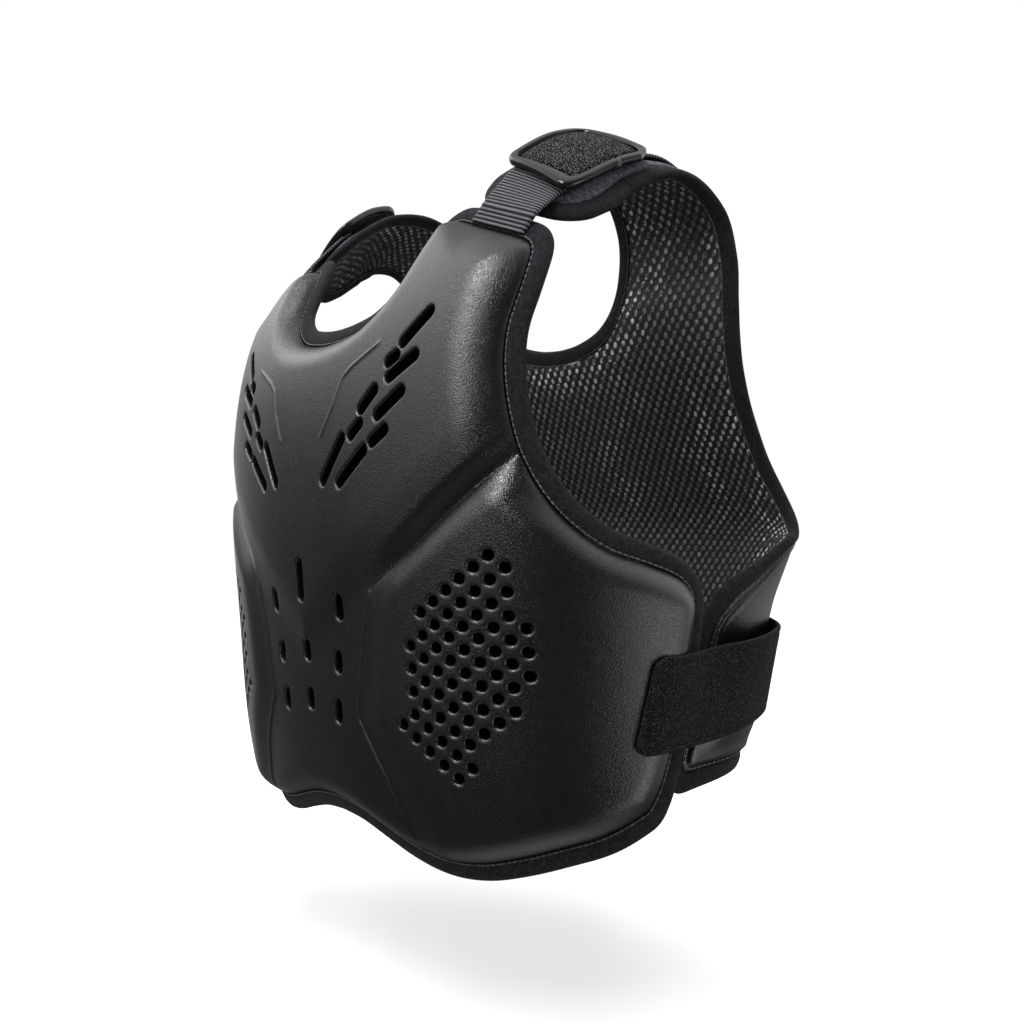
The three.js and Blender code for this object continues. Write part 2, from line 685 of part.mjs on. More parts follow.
// Straight cutter through the shell with a flat outline, square to the surface at its middle.
function cutter(outline) {
  const middle = [0, 1].map((k) => outline.reduce((sum, p) => sum + p[k], 0) / outline.length);
  const along = onFront(middle, 1).sub(onFront(middle, 0));
  const places = outline.map((flat) => onFront(flat, 0));
  const rings = [-CUTTER_REACH / 2, CUTTER_REACH].map((reach) => (
    places.map((place) => place.clone().addScaledVector(along, reach))
  ));
  return toManifold(sweep(rings).geometry());
}

// Long hole with round ends between two flat points.
function slotOutline([a, b], width) {
  const angle = Math.atan2(b[1] - a[1], b[0] - a[0]);
  const end = (p, start) => [0, 1, 2].map((k) => {
    const turn = start + Math.PI * k / 2;
    return [p[0] + Math.cos(turn) * width / 2, p[1] + Math.sin(turn) * width / 2];
  });
  return [...end(b, angle - Math.PI / 2), ...end(a, angle + Math.PI / 2)];
}

// Centres of the staggered holes that lie inside their field.
function holeCentres() {
  const centres = [];
  for (let row = -HOLE_ROWS; row <= HOLE_ROWS; row++) {
    for (let column = -HOLE_COLUMNS; column <= HOLE_COLUMNS; column++) {
      if ((row + column) % 2 !== 0) continue;
      const centre = [HOLE_ORIGIN[0] + column * HOLE_PITCH[0], HOLE_ORIGIN[1] + row * HOLE_PITCH[1]];
      if (inside(centre, HOLE_FIELD)) centres.push(centre);
    }
  }
  return centres;
}

function shellOutlines() {
  const slots = [
    ...CHEST_SLOTS.map((ends) => slotOutline(ends, SLOT)),
    ...BELLY_SLOTS.map((ends) => slotOutline(ends, BELLY_SLOT)),
  ];
  const holes = holeCentres().map(([girth, run]) => Array.from({ length: HOLE_SIDES }, (_, k) => {
    const angle = k * Math.PI * 2 / HOLE_SIDES;
    return [girth + Math.cos(angle) * HOLE / 2, run + Math.sin(angle) * HOLE / 2];
  }));
  const right = [...slots, ...holes];
  const offCentre = right.filter((outline) => outline.every(([girth]) => girth > 0));
  const left = offCentre.map((outline) => outline.map(([girth, run]) => [-girth, run]).reverse());
  return [...right, ...left];
}

const group = new THREE.Group();
group.name = 'boxing_chest_protector';

function add(name, geometry, finish) {
  const mesh = new THREE.Mesh(geometry, new THREE.MeshStandardMaterial(finish));
  mesh.name = name;
  group.add(mesh);
}

// Adds a piece of the wearer's left side and its mirror image on the right.
function addPair(name, facets, finish) {
  add(`${name}_left`, facets.geometry(), finish);
  add(`${name}_right`, facets.mirrored().geometry(), finish);
}

const blank = panel({
  on: onFront, flat: frontPattern, across: FRONT_ACROSS, bottom: 0, top: FRONT_TOP, neck: FRONT_NECK,
  outer: shellThickness, inner: 0, fineAcross: FINE_ACROSS, fineUp: FINE_UP,
}).mirror();
const cutters = shellOutlines().map(cutter);
const shell = toManifold(blank.geometry()).subtract(wasm.Manifold.union(cutters));
add('front_shell', fromManifold(shell), LEATHER);

add('front_lining', panel({
  on: onFront, flat: frontPattern, across: FRONT_ACROSS, bottom: 0, top: FRONT_TOP, neck: FRONT_NECK,
  outer: () => -GAP, inner: -GAP - LINING,
}).mirror().geometry(), MESH_CLOTH);

add('front_binding', tape(onFront, frontPattern, FRONT_ACROSS, FRONT_TOP, FRONT_NECK).geometry(), TAPE_CLOTH);

// Thickness of the back pad: plain, with a rounded edge.
const backEdge = rim(RIM_ACROSS, RIM_UP, 0, PAD_TOP_RUNG, BACK_NECK).map(([u, v]) => backPattern(u, v));
const padThickness = ([girth, run]) => (
  EDGE + (BACK_PAD - EDGE) * round(distance([Math.abs(girth), run], backEdge), ROUNDING[0])
);
add('back_pad', panel({
  on: onBack, flat: backPattern, across: BACK_ACROSS, bottom: 0, top: PAD_TOP_RUNG, neck: BACK_NECK,
  outer: padThickness, inner: GAP,
}).mirror().geometry(), LEATHER);

add('back_lining', panel({
  on: onBack, flat: backPattern, across: BACK_ACROSS, bottom: 0, top: BACK_TOP, neck: BACK_NECK,
  outer: () => 0, inner: -LINING,
}).mirror().geometry(), MESH_CLOTH);

add('back_binding', tape(onBack, backPattern, BACK_ACROSS, BACK_TOP, BACK_NECK).geometry(), TAPE_CLOTH);

addPair('shoulder_cover', panel({
  on: onBack, flat: (u, v) => backPattern(u, Math.max(v, PAD_TOP_RUNG + 0.05)),
  across: BACK_ACROSS, bottom: PAD_TOP_RUNG, top: BACK_TOP, neck: PAD_TOP_RUNG,
  outer: () => COVER, inner: GAP,
}), TAPE_CLOTH);

addPair('shoulder_webbing', webbing(), WEB_CLOTH);
addPair('ring_buckle', buckle(), PLASTIC);
addPair('loop_pad', loopPad(), LOOP_CLOTH);
addPair('keeper_strap', keeper(), WEB_CLOTH);
addPair('side_strap', sideStrap(), LOOP_CLOTH);

export default group;
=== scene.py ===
import math

import bmesh
import bpy
import numpy as np
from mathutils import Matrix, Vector
from mathutils.geometry import delaunay_2d_cdt


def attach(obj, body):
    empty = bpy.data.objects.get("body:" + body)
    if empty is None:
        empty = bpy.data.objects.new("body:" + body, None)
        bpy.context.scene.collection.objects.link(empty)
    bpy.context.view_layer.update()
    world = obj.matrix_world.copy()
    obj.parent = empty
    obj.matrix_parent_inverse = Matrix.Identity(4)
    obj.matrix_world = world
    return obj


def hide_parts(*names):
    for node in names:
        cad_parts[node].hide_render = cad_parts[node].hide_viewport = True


# %% [markdown]
# # A boxing chest protector
# The guard is sewn from flat patterns: a moulded chest plate, a padded back with a net lining, edge
# tape all round, straps over the shoulders and wide straps at the sides. Each pattern is drawn flat,
# by girth (millimetres round the body from the centre line) and run (millimetres up the body), and a
# body form then carries every flat point into space. So one drawing gives the plate, its tape, its
# stitches and its vents, and they always meet. Lengths here are millimetres until a mesh is made.

# %% Load the frame
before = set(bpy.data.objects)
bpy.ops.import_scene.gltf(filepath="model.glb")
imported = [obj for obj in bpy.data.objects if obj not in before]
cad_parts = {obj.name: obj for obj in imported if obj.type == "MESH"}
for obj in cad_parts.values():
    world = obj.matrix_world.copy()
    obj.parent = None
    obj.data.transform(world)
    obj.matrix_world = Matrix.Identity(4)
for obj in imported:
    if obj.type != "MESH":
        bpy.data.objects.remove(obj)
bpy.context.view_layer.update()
MM = 0.001
print("frame nodes:", len(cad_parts))

# %% [markdown]
# ## The camera
# A product shot is taken from far enough to keep the plate's proportions, a little to the wearer's
# left and almost level. The lens and the place below give the same outline as the real shot.

# %% Camera
CAMERA_PLACE = (590.5, -443.7, -206.1)
CAMERA_AIM = (21.6, 7.3, -200.0)
LENS = 38.67

camera_data = bpy.data.cameras.new("camera")
camera_data.lens = LENS
camera_data.sensor_width = 36.0
camera_data.clip_start = 0.01
camera = bpy.data.objects.new("camera", camera_data)
bpy.context.scene.collection.objects.link(camera)
camera.location = Vector(CAMERA_PLACE) * MM
look = Vector(CAMERA_AIM) - Vector(CAMERA_PLACE)
camera.rotation_euler = look.to_track_quat("-Z", "Y").to_euler()
bpy.context.scene.camera = camera
print("camera distance in mm:", round(look.length))

# %% [markdown]
# ## The body form
# A torso could be sculpted, but a form worked out from a short table is easier to trust: each row
# gives the middle of the chest or back at one height, the half width there and how deep the section
# wraps. Between rows the values follow cubic steps. A section is a superellipse, squarer than an
# ellipse, and runs straight on past the side of the body.

# %% Body form tables
SQUARENESS = 2.5
POWER = 2 / SQUARENESS
FRONT_ROWS = np.array([
    # run, y, z, half width, wrap
    (-405, -100, -405, 196, 126),
    (-340, -114, -340, 192, 128),
    (-270, -120, -270, 193, 128),
    (-200, -124, -200, 198, 128),
    (-130, -119, -130, 211, 125),
    (-80, -105, -80, 217, 123),
    (-20, -72, -20, 217, 123),
], float)
BACK_ROWS = np.array([
    # y, z, half width, wrap, from the hem over the shoulder to the tongue
    (114, -375, 163, 84),
    (122, -335, 168.5, 90),
    (131, -263, 177, 97),
    (133, -205, 202.5, 95),
    (104, -155, 207, 58),
    (77, -110, 203, 20),
    (66, -75, 200, 6),
    (64, -50, 196, 8),
    (57, -20.5, 193, 18),
    (38.5, 6.5, 190, 55),
    (10, 21.5, 190, 115),
    (-22, 19.5, 190, 148),
    (-50.5, 3, 190, 155),
    (-64, -8, 190, 155),
    (-82, -23, 190, 155),
], float)


def unit(vectors):
    """Vectors brought to length 1."""
    return vectors / np.linalg.norm(vectors, axis=-1, keepdims=True)


def lengths(points):
    """Length walked from the first point of a line to each of its points."""
    steps = np.linalg.norm(np.diff(points, axis=0), axis=1)
    return np.concatenate([[0], np.cumsum(steps)])


def read_line(points, stations, at):
    """Places on a line of points, by straight steps between its stations."""
    return np.stack([np.interp(at, stations, column) for column in points.T], -1)


def track(stations, values, at):
    """Cubic (Hermite) steps through values at stations, each slope that of its two neighbours."""
    last = len(stations) - 1
    before = np.maximum(np.arange(last + 1) - 1, 0)
    after = np.minimum(np.arange(last + 1) + 1, last)
    slope = (values[after] - values[before]) / (stations[after] - stations[before])
    i = np.clip(np.searchsorted(stations, at) - 1, 0, last - 1)
    width = stations[i + 1] - stations[i]
    t = (at - stations[i]) / width
    rise = 3 * t**2 - 2 * t**3
    start = t**3 - 2 * t**2 + t
    end = t**3 - t**2
    return values[i] * (1 - rise) + values[i + 1] * rise + width * (start * slope[i] + end * slope[i + 1])


def oval(half, wrap, angle):
    """Sideways reach and depth of a superellipse at an angle from its middle."""
    return half * np.sin(angle) ** POWER, wrap * (1 - np.cos(angle).clip(0) ** POWER)


class BodyForm:
    """Carries a flat point (girth, run) to its place on the body, with a lift along the normal."""

    STEP = 2.0      # between the runs at which arc lengths are measured
    ANGLES = 129    # points on a quarter of the oval
    REACH = 320
    MARGIN = 30.0
    NUDGE = 0.5     # half the step over which a slope is measured
    INSIDE = 0.001  # keeps the last place within the last cell of the table

    def __init__(self, rows, facing):
        self.facing = facing
        self.run, self.y, self.z, self.half, self.wrap = rows.T
        self.runs = np.arange(self.run[0] - self.MARGIN, self.run[-1] + self.MARGIN, self.STEP)
        angle = np.linspace(0, math.pi / 2, self.ANGLES)
        half = track(self.run, self.half, self.runs)[:, None]
        wrap = track(self.run, self.wrap, self.runs)[:, None]
        side, back = oval(half, wrap, angle)
        steps = np.hypot(np.diff(side, axis=1), np.diff(back, axis=1))
        length = np.concatenate([np.zeros((len(self.runs), 1)), np.cumsum(steps, axis=1)], axis=1)
        girths = np.arange(self.REACH + 1.0)
        self.angle = np.array([np.interp(girths, row, angle) for row in length])
        self.quarter = length[:, -1]

    def place(self, girth, run):
        """Point at a girth and run: the oval's point at the angle whose arc length is the girth."""
        girth, run = np.broadcast_arrays(np.asarray(girth, float), np.asarray(run, float))
        along = np.clip((run - self.runs[0]) / self.STEP, 0, len(self.runs) - 1 - self.INSIDE)
        round_body = np.clip(np.abs(girth), 0, self.REACH - self.INSIDE)
        i, j = along.astype(int), round_body.astype(int)
        s, t = along - i, round_body - j
        low = self.angle[i, j] * (1 - t) + self.angle[i, j + 1] * t
        high = self.angle[i + 1, j] * (1 - t) + self.angle[i + 1, j + 1] * t
        angle = low * (1 - s) + high * s
        quarter = self.quarter[i] * (1 - s) + self.quarter[i + 1] * s
        half = track(self.run, self.half, run)
        wrap = track(self.run, self.wrap, run)
        side, back = oval(half, wrap, angle)
        back = back + np.maximum(np.abs(girth) - quarter, 0)
        ahead, behind = run + self.NUDGE, run - self.NUDGE
        dy = track(self.run, self.y, ahead) - track(self.run, self.y, behind)
        dz = track(self.run, self.z, ahead) - track(self.run, self.z, behind)
        size = np.hypot(dy, dz)
        level_y = -np.ones_like(dy) if self.facing < 0 else dz / size
        level_z = np.zeros_like(dy) if self.facing < 0 else -dy / size
        y = track(self.run, self.y, run) - level_y * back
        z = track(self.run, self.z, run) - level_z * back
        return np.stack([np.sign(girth) * side, y, z], -1)

    def normal(self, girth, run):
        """Outward unit normal: the cross product of the steps across and along the form."""
        across = self.place(girth + self.NUDGE, run) - self.place(girth - self.NUDGE, run)
        along = self.place(girth, run + self.NUDGE) - self.place(girth, run - self.NUDGE)
        return unit(np.cross(across, along) * -self.facing)

    def lifted(self, flat, lift):
        """Point at a flat place (..., 2), moved out by lift along the normal."""
        girth, run = flat[..., 0], flat[..., 1]
        lift = np.broadcast_to(np.asarray(lift, float), girth.shape)
        return self.place(girth, run) + self.normal(girth, run) * lift[..., None]


def with_run(rows):
    """Puts the length along the centre line in front of each row."""
    return np.column_stack([lengths(rows[:, :2]), rows])


front = BodyForm(FRONT_ROWS, -1)
back = BodyForm(with_run(BACK_ROWS), 1)
print("run up the back and over the shoulder, mm:", round(back.run[-1]))

# %% [markdown]
# ## The flat patterns
# Only the seam line of each panel is drawn: its hem, outer edge, top and neck, as short tables of
# matching points, joined by the same cubic steps and mirrored to the wearer's right. The loop is then
# walked at even steps and smoothed a little, as a knife would round the corners.

# %% Pattern tables and seam loops
FRONT_IN = np.array([
    (0, -100), (21, -98.5), (43, -93), (62, -78), (69, -59), (72.5, -46), (76, -39.5), (82, -36.5),
], float)
FRONT_OUT = np.array([
    (214, -356), (224, -339), (237, -303), (245.5, -268), (249.5, -250), (247, -241), (239, -234.5),
    (222, -228), (199, -219), (176, -199), (160, -172), (152, -144), (148.5, -122), (148, -105),
    (150, -88), (150, -74), (148.5, -65), (145, -60.5), (139, -57),
], float)
FRONT_HEM = np.array([-371, -373, -379, -386, -390, -388.5, -382.5, -375, -367.5, -356], float)
BACK_IN = np.array([
    (0, 297), (22, 299), (47, 306.5), (65, 320.5), (76.5, 344), (83, 370), (86.5, 396), (88, 418),
    (89.5, 438), (91, 458), (91, 478), (90, 496), (91, 512), (95.5, 522), (103.5, 527),
], float)
BACK_OUT = np.array([
    (224, 6.5), (229, 15), (229.5, 50), (229.5, 85), (228.5, 104), (225, 113.5), (217, 121), (206.5, 131),
    (199, 148), (194, 165), (183, 181), (168, 198), (156, 221), (151, 250), (151, 276), (153, 301),
    (155.5, 328), (156, 352), (154.5, 378), (152.5, 400), (151.7, 420), (151, 440), (150.7, 459),
    (150.6, 477), (151, 492), (151, 508), (147, 518), (139, 524),
], float)
BACK_HEM = np.array([30, 30, 30, 29.5, 28.5, 27, 24.5, 20.5, 14, 6.5], float)
LOOP_STEP = 1.5
LOOP_SOFTNESS = 3.0
HEM_POINTS, OUTER_POINTS, TOP_POINTS, NECK_POINTS = 200, 900, 40, 500


def through(points, count):
    """Smooth curve through points, an equal share of the count between each two."""
    stations = np.arange(len(points), dtype=float)
    at = np.linspace(0, len(points) - 1, count)
    return np.stack([track(stations, points[:, k], at) for k in (0, 1)], -1)


def evenly(points, step):
    """Walks a closed loop at even steps of about the given length."""
    ring = np.concatenate([points, points[:1]])
    length = lengths(ring)
    count = int(round(length[-1] / step))
    return read_line(ring, length, np.arange(count) * length[-1] / count)


def smooth_loop(points, reach, step=LOOP_STEP):
    """Closed loop walked at even steps and blurred with a bell-shaped window of the given reach."""
    loop = evenly(points, step)
    waves = np.fft.fftfreq(len(loop), step)
    window = np.exp(-2 * (math.pi * waves * reach) ** 2)
    return np.real(np.fft.ifft(np.fft.fft(loop, axis=0) * window[:, None], axis=0))


def seam_loop(inner, outer, hem):
    """Closed seam of a panel: hem, outer edge, top, neck, and the same mirrored."""
    across = np.linspace(0, 1, HEM_POINTS)
    low = np.stack([across * outer[0, 0], track(np.linspace(0, 1, len(hem)), hem, across)], -1)
    high = outer[-1] + (inner[-1] - outer[-1]) * np.linspace(0, 1, TOP_POINTS)[:, None]
    neck = through(inner, NECK_POINTS)[::-1]
    right = np.concatenate([low[:-1], through(outer, OUTER_POINTS)[:-1], high[:-1], neck])
    left = right[-2:0:-1] * (-1, 1)
    return smooth_loop(np.concatenate([right, left]), LOOP_SOFTNESS)


front_seam = seam_loop(FRONT_IN, FRONT_OUT, FRONT_HEM)
back_seam = seam_loop(BACK_IN, BACK_OUT, BACK_HEM)
print("seam points, front and back:", len(front_seam), len(back_seam))

# %% [markdown]
# ## From a flat outline to a mesh
# A panel with a hundred vents can't be a plain grid. Its points are laid out flat instead: rings that
# follow the edge and each vent closely, where the surface rounds over, and an even triangular lattice
# in between. A constrained Delaunay triangulation joins them, and the body form lifts the result.

# %% Flat layout helpers
CHUNK = 4000                # points that are measured in one go
TINY = 1e-9                 # stands in for the squared length of a line piece that is one point


def to_lines(points, lines):
    """Distance from each point to the nearest of the line pieces (start, end)."""
    starts, ends = lines
    spans = ends - starts
    size = np.maximum((spans**2).sum(1), TINY)
    least = np.empty(len(points))
    for first in range(0, len(points), CHUNK):
        some = slice(first, first + CHUNK)
        gap = points[some, None] - starts
        t = np.clip((gap * spans).sum(-1) / size, 0, 1)
        away = gap - t[..., None] * spans
        least[some] = np.sqrt((away**2).sum(-1)).min(1)
    return least


def pieces_of(line, closed=False):
    """The line pieces (starts, ends) of a line of points."""
    line = np.asarray(line, float)
    following = np.roll(line, -1, axis=0)
    return (line, following) if closed else (line[:-1], following[:-1])


def within(points, outline):
    """True where a point lies inside a closed outline: an odd number of edges to its right."""
    odd = np.zeros(len(points), bool)
    following = np.roll(outline, -1, axis=0)
    for (ax, ay), (bx, by) in zip(outline, following):
        if ay != by:
            crosses = (ay > points[:, 1]) != (by > points[:, 1])
            odd ^= crosses & (points[:, 0] < ax + (bx - ax) * (points[:, 1] - ay) / (by - ay))
    return odd


def inward(loop):
    """Unit vectors pointing into a loop that is walked anticlockwise."""
    ahead = unit(np.roll(loop, -1, axis=0) - np.roll(loop, 1, axis=0))
    return np.stack([-ahead[:, 1], ahead[:, 0]], -1)


class Vents:
    """Long and round holes on a flat pattern: each is the set of points near one line piece."""

    STEP = 1.1
    LEAST_ARC = 9   # points on the smallest half circle

    def __init__(self, ends, widths):
        self.starts = np.array([a for a, _ in ends], float)
        self.ends = np.array([b for _, b in ends], float)
        self.radii = np.array(widths, float) / 2

    def outline(self, a, b, r):
        """Outline of one vent: two half circles and two straights."""
        span = b - a
        length = np.hypot(*span)
        count = max(self.LEAST_ARC, int(math.pi * r / self.STEP) + 1)
        cap = math.atan2(span[1], span[0]) + np.linspace(-math.pi / 2, math.pi / 2, count)
        half_circle = r * np.stack([np.cos(cap), np.sin(cap)], -1)
        head, tail = b + half_circle, a - half_circle
        if length == 0:
            return np.concatenate([head[:-1], tail[:-1]])
        between = np.linspace(0, 1, int(length / self.STEP) + 2)[1:-1, None]
        over = head[-1] + (tail[0] - head[-1]) * between
        under = tail[-1] + (head[0] - tail[-1]) * between
        return np.concatenate([head, over, tail, under])

    def outlines(self, grow=0.0):
        """Outlines of all vents, grown by a distance."""
        return [self.outline(a, b, r + grow) for a, b, r in zip(self.starts, self.ends, self.radii)]

    def gap(self, points):
        """Distance from each point to the nearest vent's outline, negative inside."""
        least = np.full(len(points), np.inf)
        for a, b, r in zip(self.starts, self.ends, self.radii):
            span = b - a
            t = np.clip(((points - a) @ span) / max(span @ span, TINY), 0, 1)
            least = np.minimum(least, np.linalg.norm(points - a - t[:, None] * span, axis=1) - r)
        return least


NO_VENTS = Vents([], [])
LATTICE_ROW = 0.866         # height of an even triangle, in spacings


def lattice(loop, spacing):
    """Even triangular lattice over a loop's box."""
    low, high = loop.min(0), loop.max(0)
    row = spacing * LATTICE_ROW
    columns = np.arange(math.floor(low[0] / spacing), math.ceil(high[0] / spacing) + 1)
    rows = np.arange(math.floor(low[1] / row), math.ceil(high[1] / row) + 1)
    x, y = np.meshgrid(columns, rows)
    return np.stack([(x + 0.5 * (y % 2)) * spacing, y * row], -1).reshape(-1, 2)


def ring_edges(count, start):
    """Index pairs round a ring of points."""
    index = start + np.arange(count)
    return np.stack([index, np.roll(index, -1)], -1)


RING_SHARE = 0.985          # a ring's point stays where no part of the edge is nearer than this share
LIP_SLACK = 0.04            # and a lip's point where no other vent is nearer by this
CLEAR = (0.5, 0.45, 0.4)    # how far the lattice keeps from edge, vents and folds, in spacings
LEAST_GAP = 0.02            # points nearer a vent than this are left out
MERGE = 1e-4                # and points nearer each other than this are one
LEAST_AREA = 0.0002         # square millimetres; a thinner triangle only lies along a straight edge
VENT_SLACK = 0.09           # the chords of a vent's outline lie a little inside its round


def triangulate(loop, spacing, depths=(), vents=NO_VENTS, lips=(), folds=()):
    """Flat triangles inside a loop, finer near its edge (depths), its vents (lips) and fold lines."""
    edge = pieces_of(loop, True)
    outlines = [loop] + vents.outlines()
    starts = np.cumsum([0] + [len(ring) for ring in outlines[:-1]])
    fixed = np.concatenate([ring_edges(len(ring), start) for ring, start in zip(outlines, starts)])
    even = lattice(loop, spacing)
    even = even[within(even, loop)]
    even = even[to_lines(even, edge) > max(depths, default=0) + spacing * CLEAR[0]]
    even = even[vents.gap(even) > max(lips, default=0) + spacing * CLEAR[1]]
    extra = []
    for depth in depths:
        ring = loop + inward(loop) * depth
        extra.append(ring[to_lines(ring, edge) > depth * RING_SHARE])
    for lip in lips:
        rings = np.concatenate(vents.outlines(lip))
        extra.append(rings[vents.gap(rings) > lip - LIP_SLACK])
    for line, offsets in folds:
        extra.extend(line + inward(line) * offset for offset in offsets)
        even = even[to_lines(even, pieces_of(line)) > max(offsets) + spacing * CLEAR[2]]
    extra = np.concatenate(extra + [even])
    extra = extra[within(extra, loop) & (vents.gap(extra) > LEAST_GAP)]
    points = [Vector(point) for point in np.concatenate(outlines + [extra]).tolist()]
    result = delaunay_2d_cdt(points, fixed.tolist(), [], 0, MERGE, False)
    flat = np.array([tuple(point) for point in result[0]])
    faces = np.array(result[2])
    middle = flat[faces].mean(1)
    sides = np.diff(flat[faces], axis=1)
    area = np.abs(sides[:, 0, 0] * sides[:, 1, 1] - sides[:, 0, 1] * sides[:, 1, 0]) / 2
    keep = within(middle, loop) & (area > LEAST_AREA) & (vents.gap(middle) > -VENT_SLACK)
    return flat, faces[keep]


# %% [markdown]
# ## Mesh helpers
# Every piece is made of parts: places, faces and flat places. Points that coincide are merged, the flat
# place of each corner is kept as a UV map in millimetres for weaves and grains that follow the cloth,
# and the object stays at the origin so that patterns on Object coordinates don't move.

# %% Mesh helpers
WELD = 0.03                 # points of a piece that are nearer than this are one


def make_piece(name, parts, material, replaced=()):
    """Mesh object from parts, in metres, that rides on the body and takes a finish."""
    places = np.concatenate([place.reshape(-1, 3) for place, _, _ in parts])
    uvs = np.concatenate([uv.reshape(-1, 2) for _, _, uv in parts])
    starts = np.cumsum([0] + [place.size // 3 for place, _, _ in parts])
    corners = np.concatenate([(face + start).ravel() for (_, face, _), start in zip(parts, starts)])
    sizes = np.concatenate([np.full(len(face), face.shape[1]) for _, face, _ in parts])
    mesh = bpy.data.meshes.new(name)
    mesh.vertices.add(len(places))
    mesh.vertices.foreach_set("co", (places * MM).astype(np.float32).ravel())
    mesh.loops.add(len(corners))
    mesh.loops.foreach_set("vertex_index", corners.astype(np.int32))
    mesh.polygons.add(len(sizes))
    mesh.polygons.foreach_set("loop_start", (np.cumsum(sizes) - sizes).astype(np.int32))
    mesh.polygons.foreach_set("use_smooth", np.ones(len(sizes), bool))
    mesh.update(calc_edges=True)
    layer = mesh.uv_layers.new(name="flat")
    layer.data.foreach_set("uv", uvs[corners].astype(np.float32).ravel())
    merged = bmesh.new()
    merged.from_mesh(mesh)
    bmesh.ops.remove_doubles(merged, verts=merged.verts, dist=WELD * MM)
    merged.to_mesh(mesh)
    merged.free()
    mesh.validate()
    mesh.materials.append(material)
    piece = bpy.data.objects.new(name, mesh)
    bpy.context.scene.collection.objects.link(piece)
    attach(piece, "root")
    if replaced:
        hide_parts(*replaced)
    mesh.calc_loop_triangles()
    print(f"{name}: {len(mesh.vertices)} points, {len(mesh.loop_triangles)} triangles")
    return piece


def grid_faces(rows, columns, wrap_rows=False, wrap_columns=False):
    """Quads of a grid of places, optionally closed in either direction."""
    i = np.arange(rows if wrap_rows else rows - 1)[:, None]
    j = np.arange(columns if wrap_columns else columns - 1)[None, :]
    i2, j2 = (i + 1) % rows, (j + 1) % columns
    corners = (i * columns + j, i * columns + j2, i2 * columns + j2, i2 * columns + j)
    return np.stack(np.broadcast_arrays(*corners), -1).reshape(-1, 4)


def mirrored(parts):
    """The mirror image of parts in the centre plane, with faces turned to point outwards."""
    return [(place * (-1, 1, 1), face[:, ::-1], uv) for place, face, uv in parts]


def outward(parts):
    """Turns every face round where the parts close in a negative volume."""
    volume = 0.0
    for place, face, _ in parts:
        corners = place.reshape(-1, 3)[face]
        for k in range(1, face.shape[1] - 1):
            volume += np.einsum("ij,ij->", corners[:, 0], np.cross(corners[:, k], corners[:, k + 1]))
    if volume < 0:
        return [(place, face[:, ::-1], uv) for place, face, uv in parts]
    return parts


def tube(rings, uv):
    """Surface through closed rings of points that follow each other round a loop."""
    return outward([(rings, grid_faces(*rings.shape[:2], True, True), uv)])


def panel(form, loop, layout, low, high, rim_high):
    """Two faces at two lifts over one flat layout, and the rim between them along its loop."""
    flat, faces = layout
    rim = np.stack([loop, loop])
    levels = np.stack([np.broadcast_to(level, len(loop)) for level in (low, rim_high)])
    wall = grid_faces(2, len(loop), False, True)
    return outward([(form.lifted(flat, high), faces, flat),
                    (form.lifted(flat, low), faces[:, ::-1], flat),
                    (form.lifted(rim, levels), wall, rim)])


def slab(lower, upper, uv):
    """Closed band between two grids of places, with a wall along all four sides."""
    rows, columns = lower.shape[:2]
    faces = grid_faces(rows, columns)
    rim = np.concatenate([
        np.arange(columns), np.arange(1, rows) * columns + columns - 1,
        (rows - 1) * columns + np.arange(columns - 2, -1, -1), np.arange(rows - 2, 0, -1) * columns,
    ])
    pair = np.stack([lower.reshape(-1, 3)[rim], upper.reshape(-1, 3)[rim]])
    pair_uv = np.stack([uv.reshape(-1, 2)[rim]] * 2)
    parts = [(upper, faces, uv), (lower, faces[:, ::-1], uv),
             (pair, grid_faces(2, len(rim), False, True), pair_uv)]
    return outward(parts)


# %% [markdown]
# ## Shader expressions
# Node trees are easier to read as sums and products. A wire wraps one output socket: arithmetic on
# wires adds Math nodes, and one method adds any other node, with its settings and its inputs.

# %% Wire class
def operator(operation):
    """Method that adds a Math node for one sign of arithmetic."""
    return lambda first, second: first.math(operation, second)


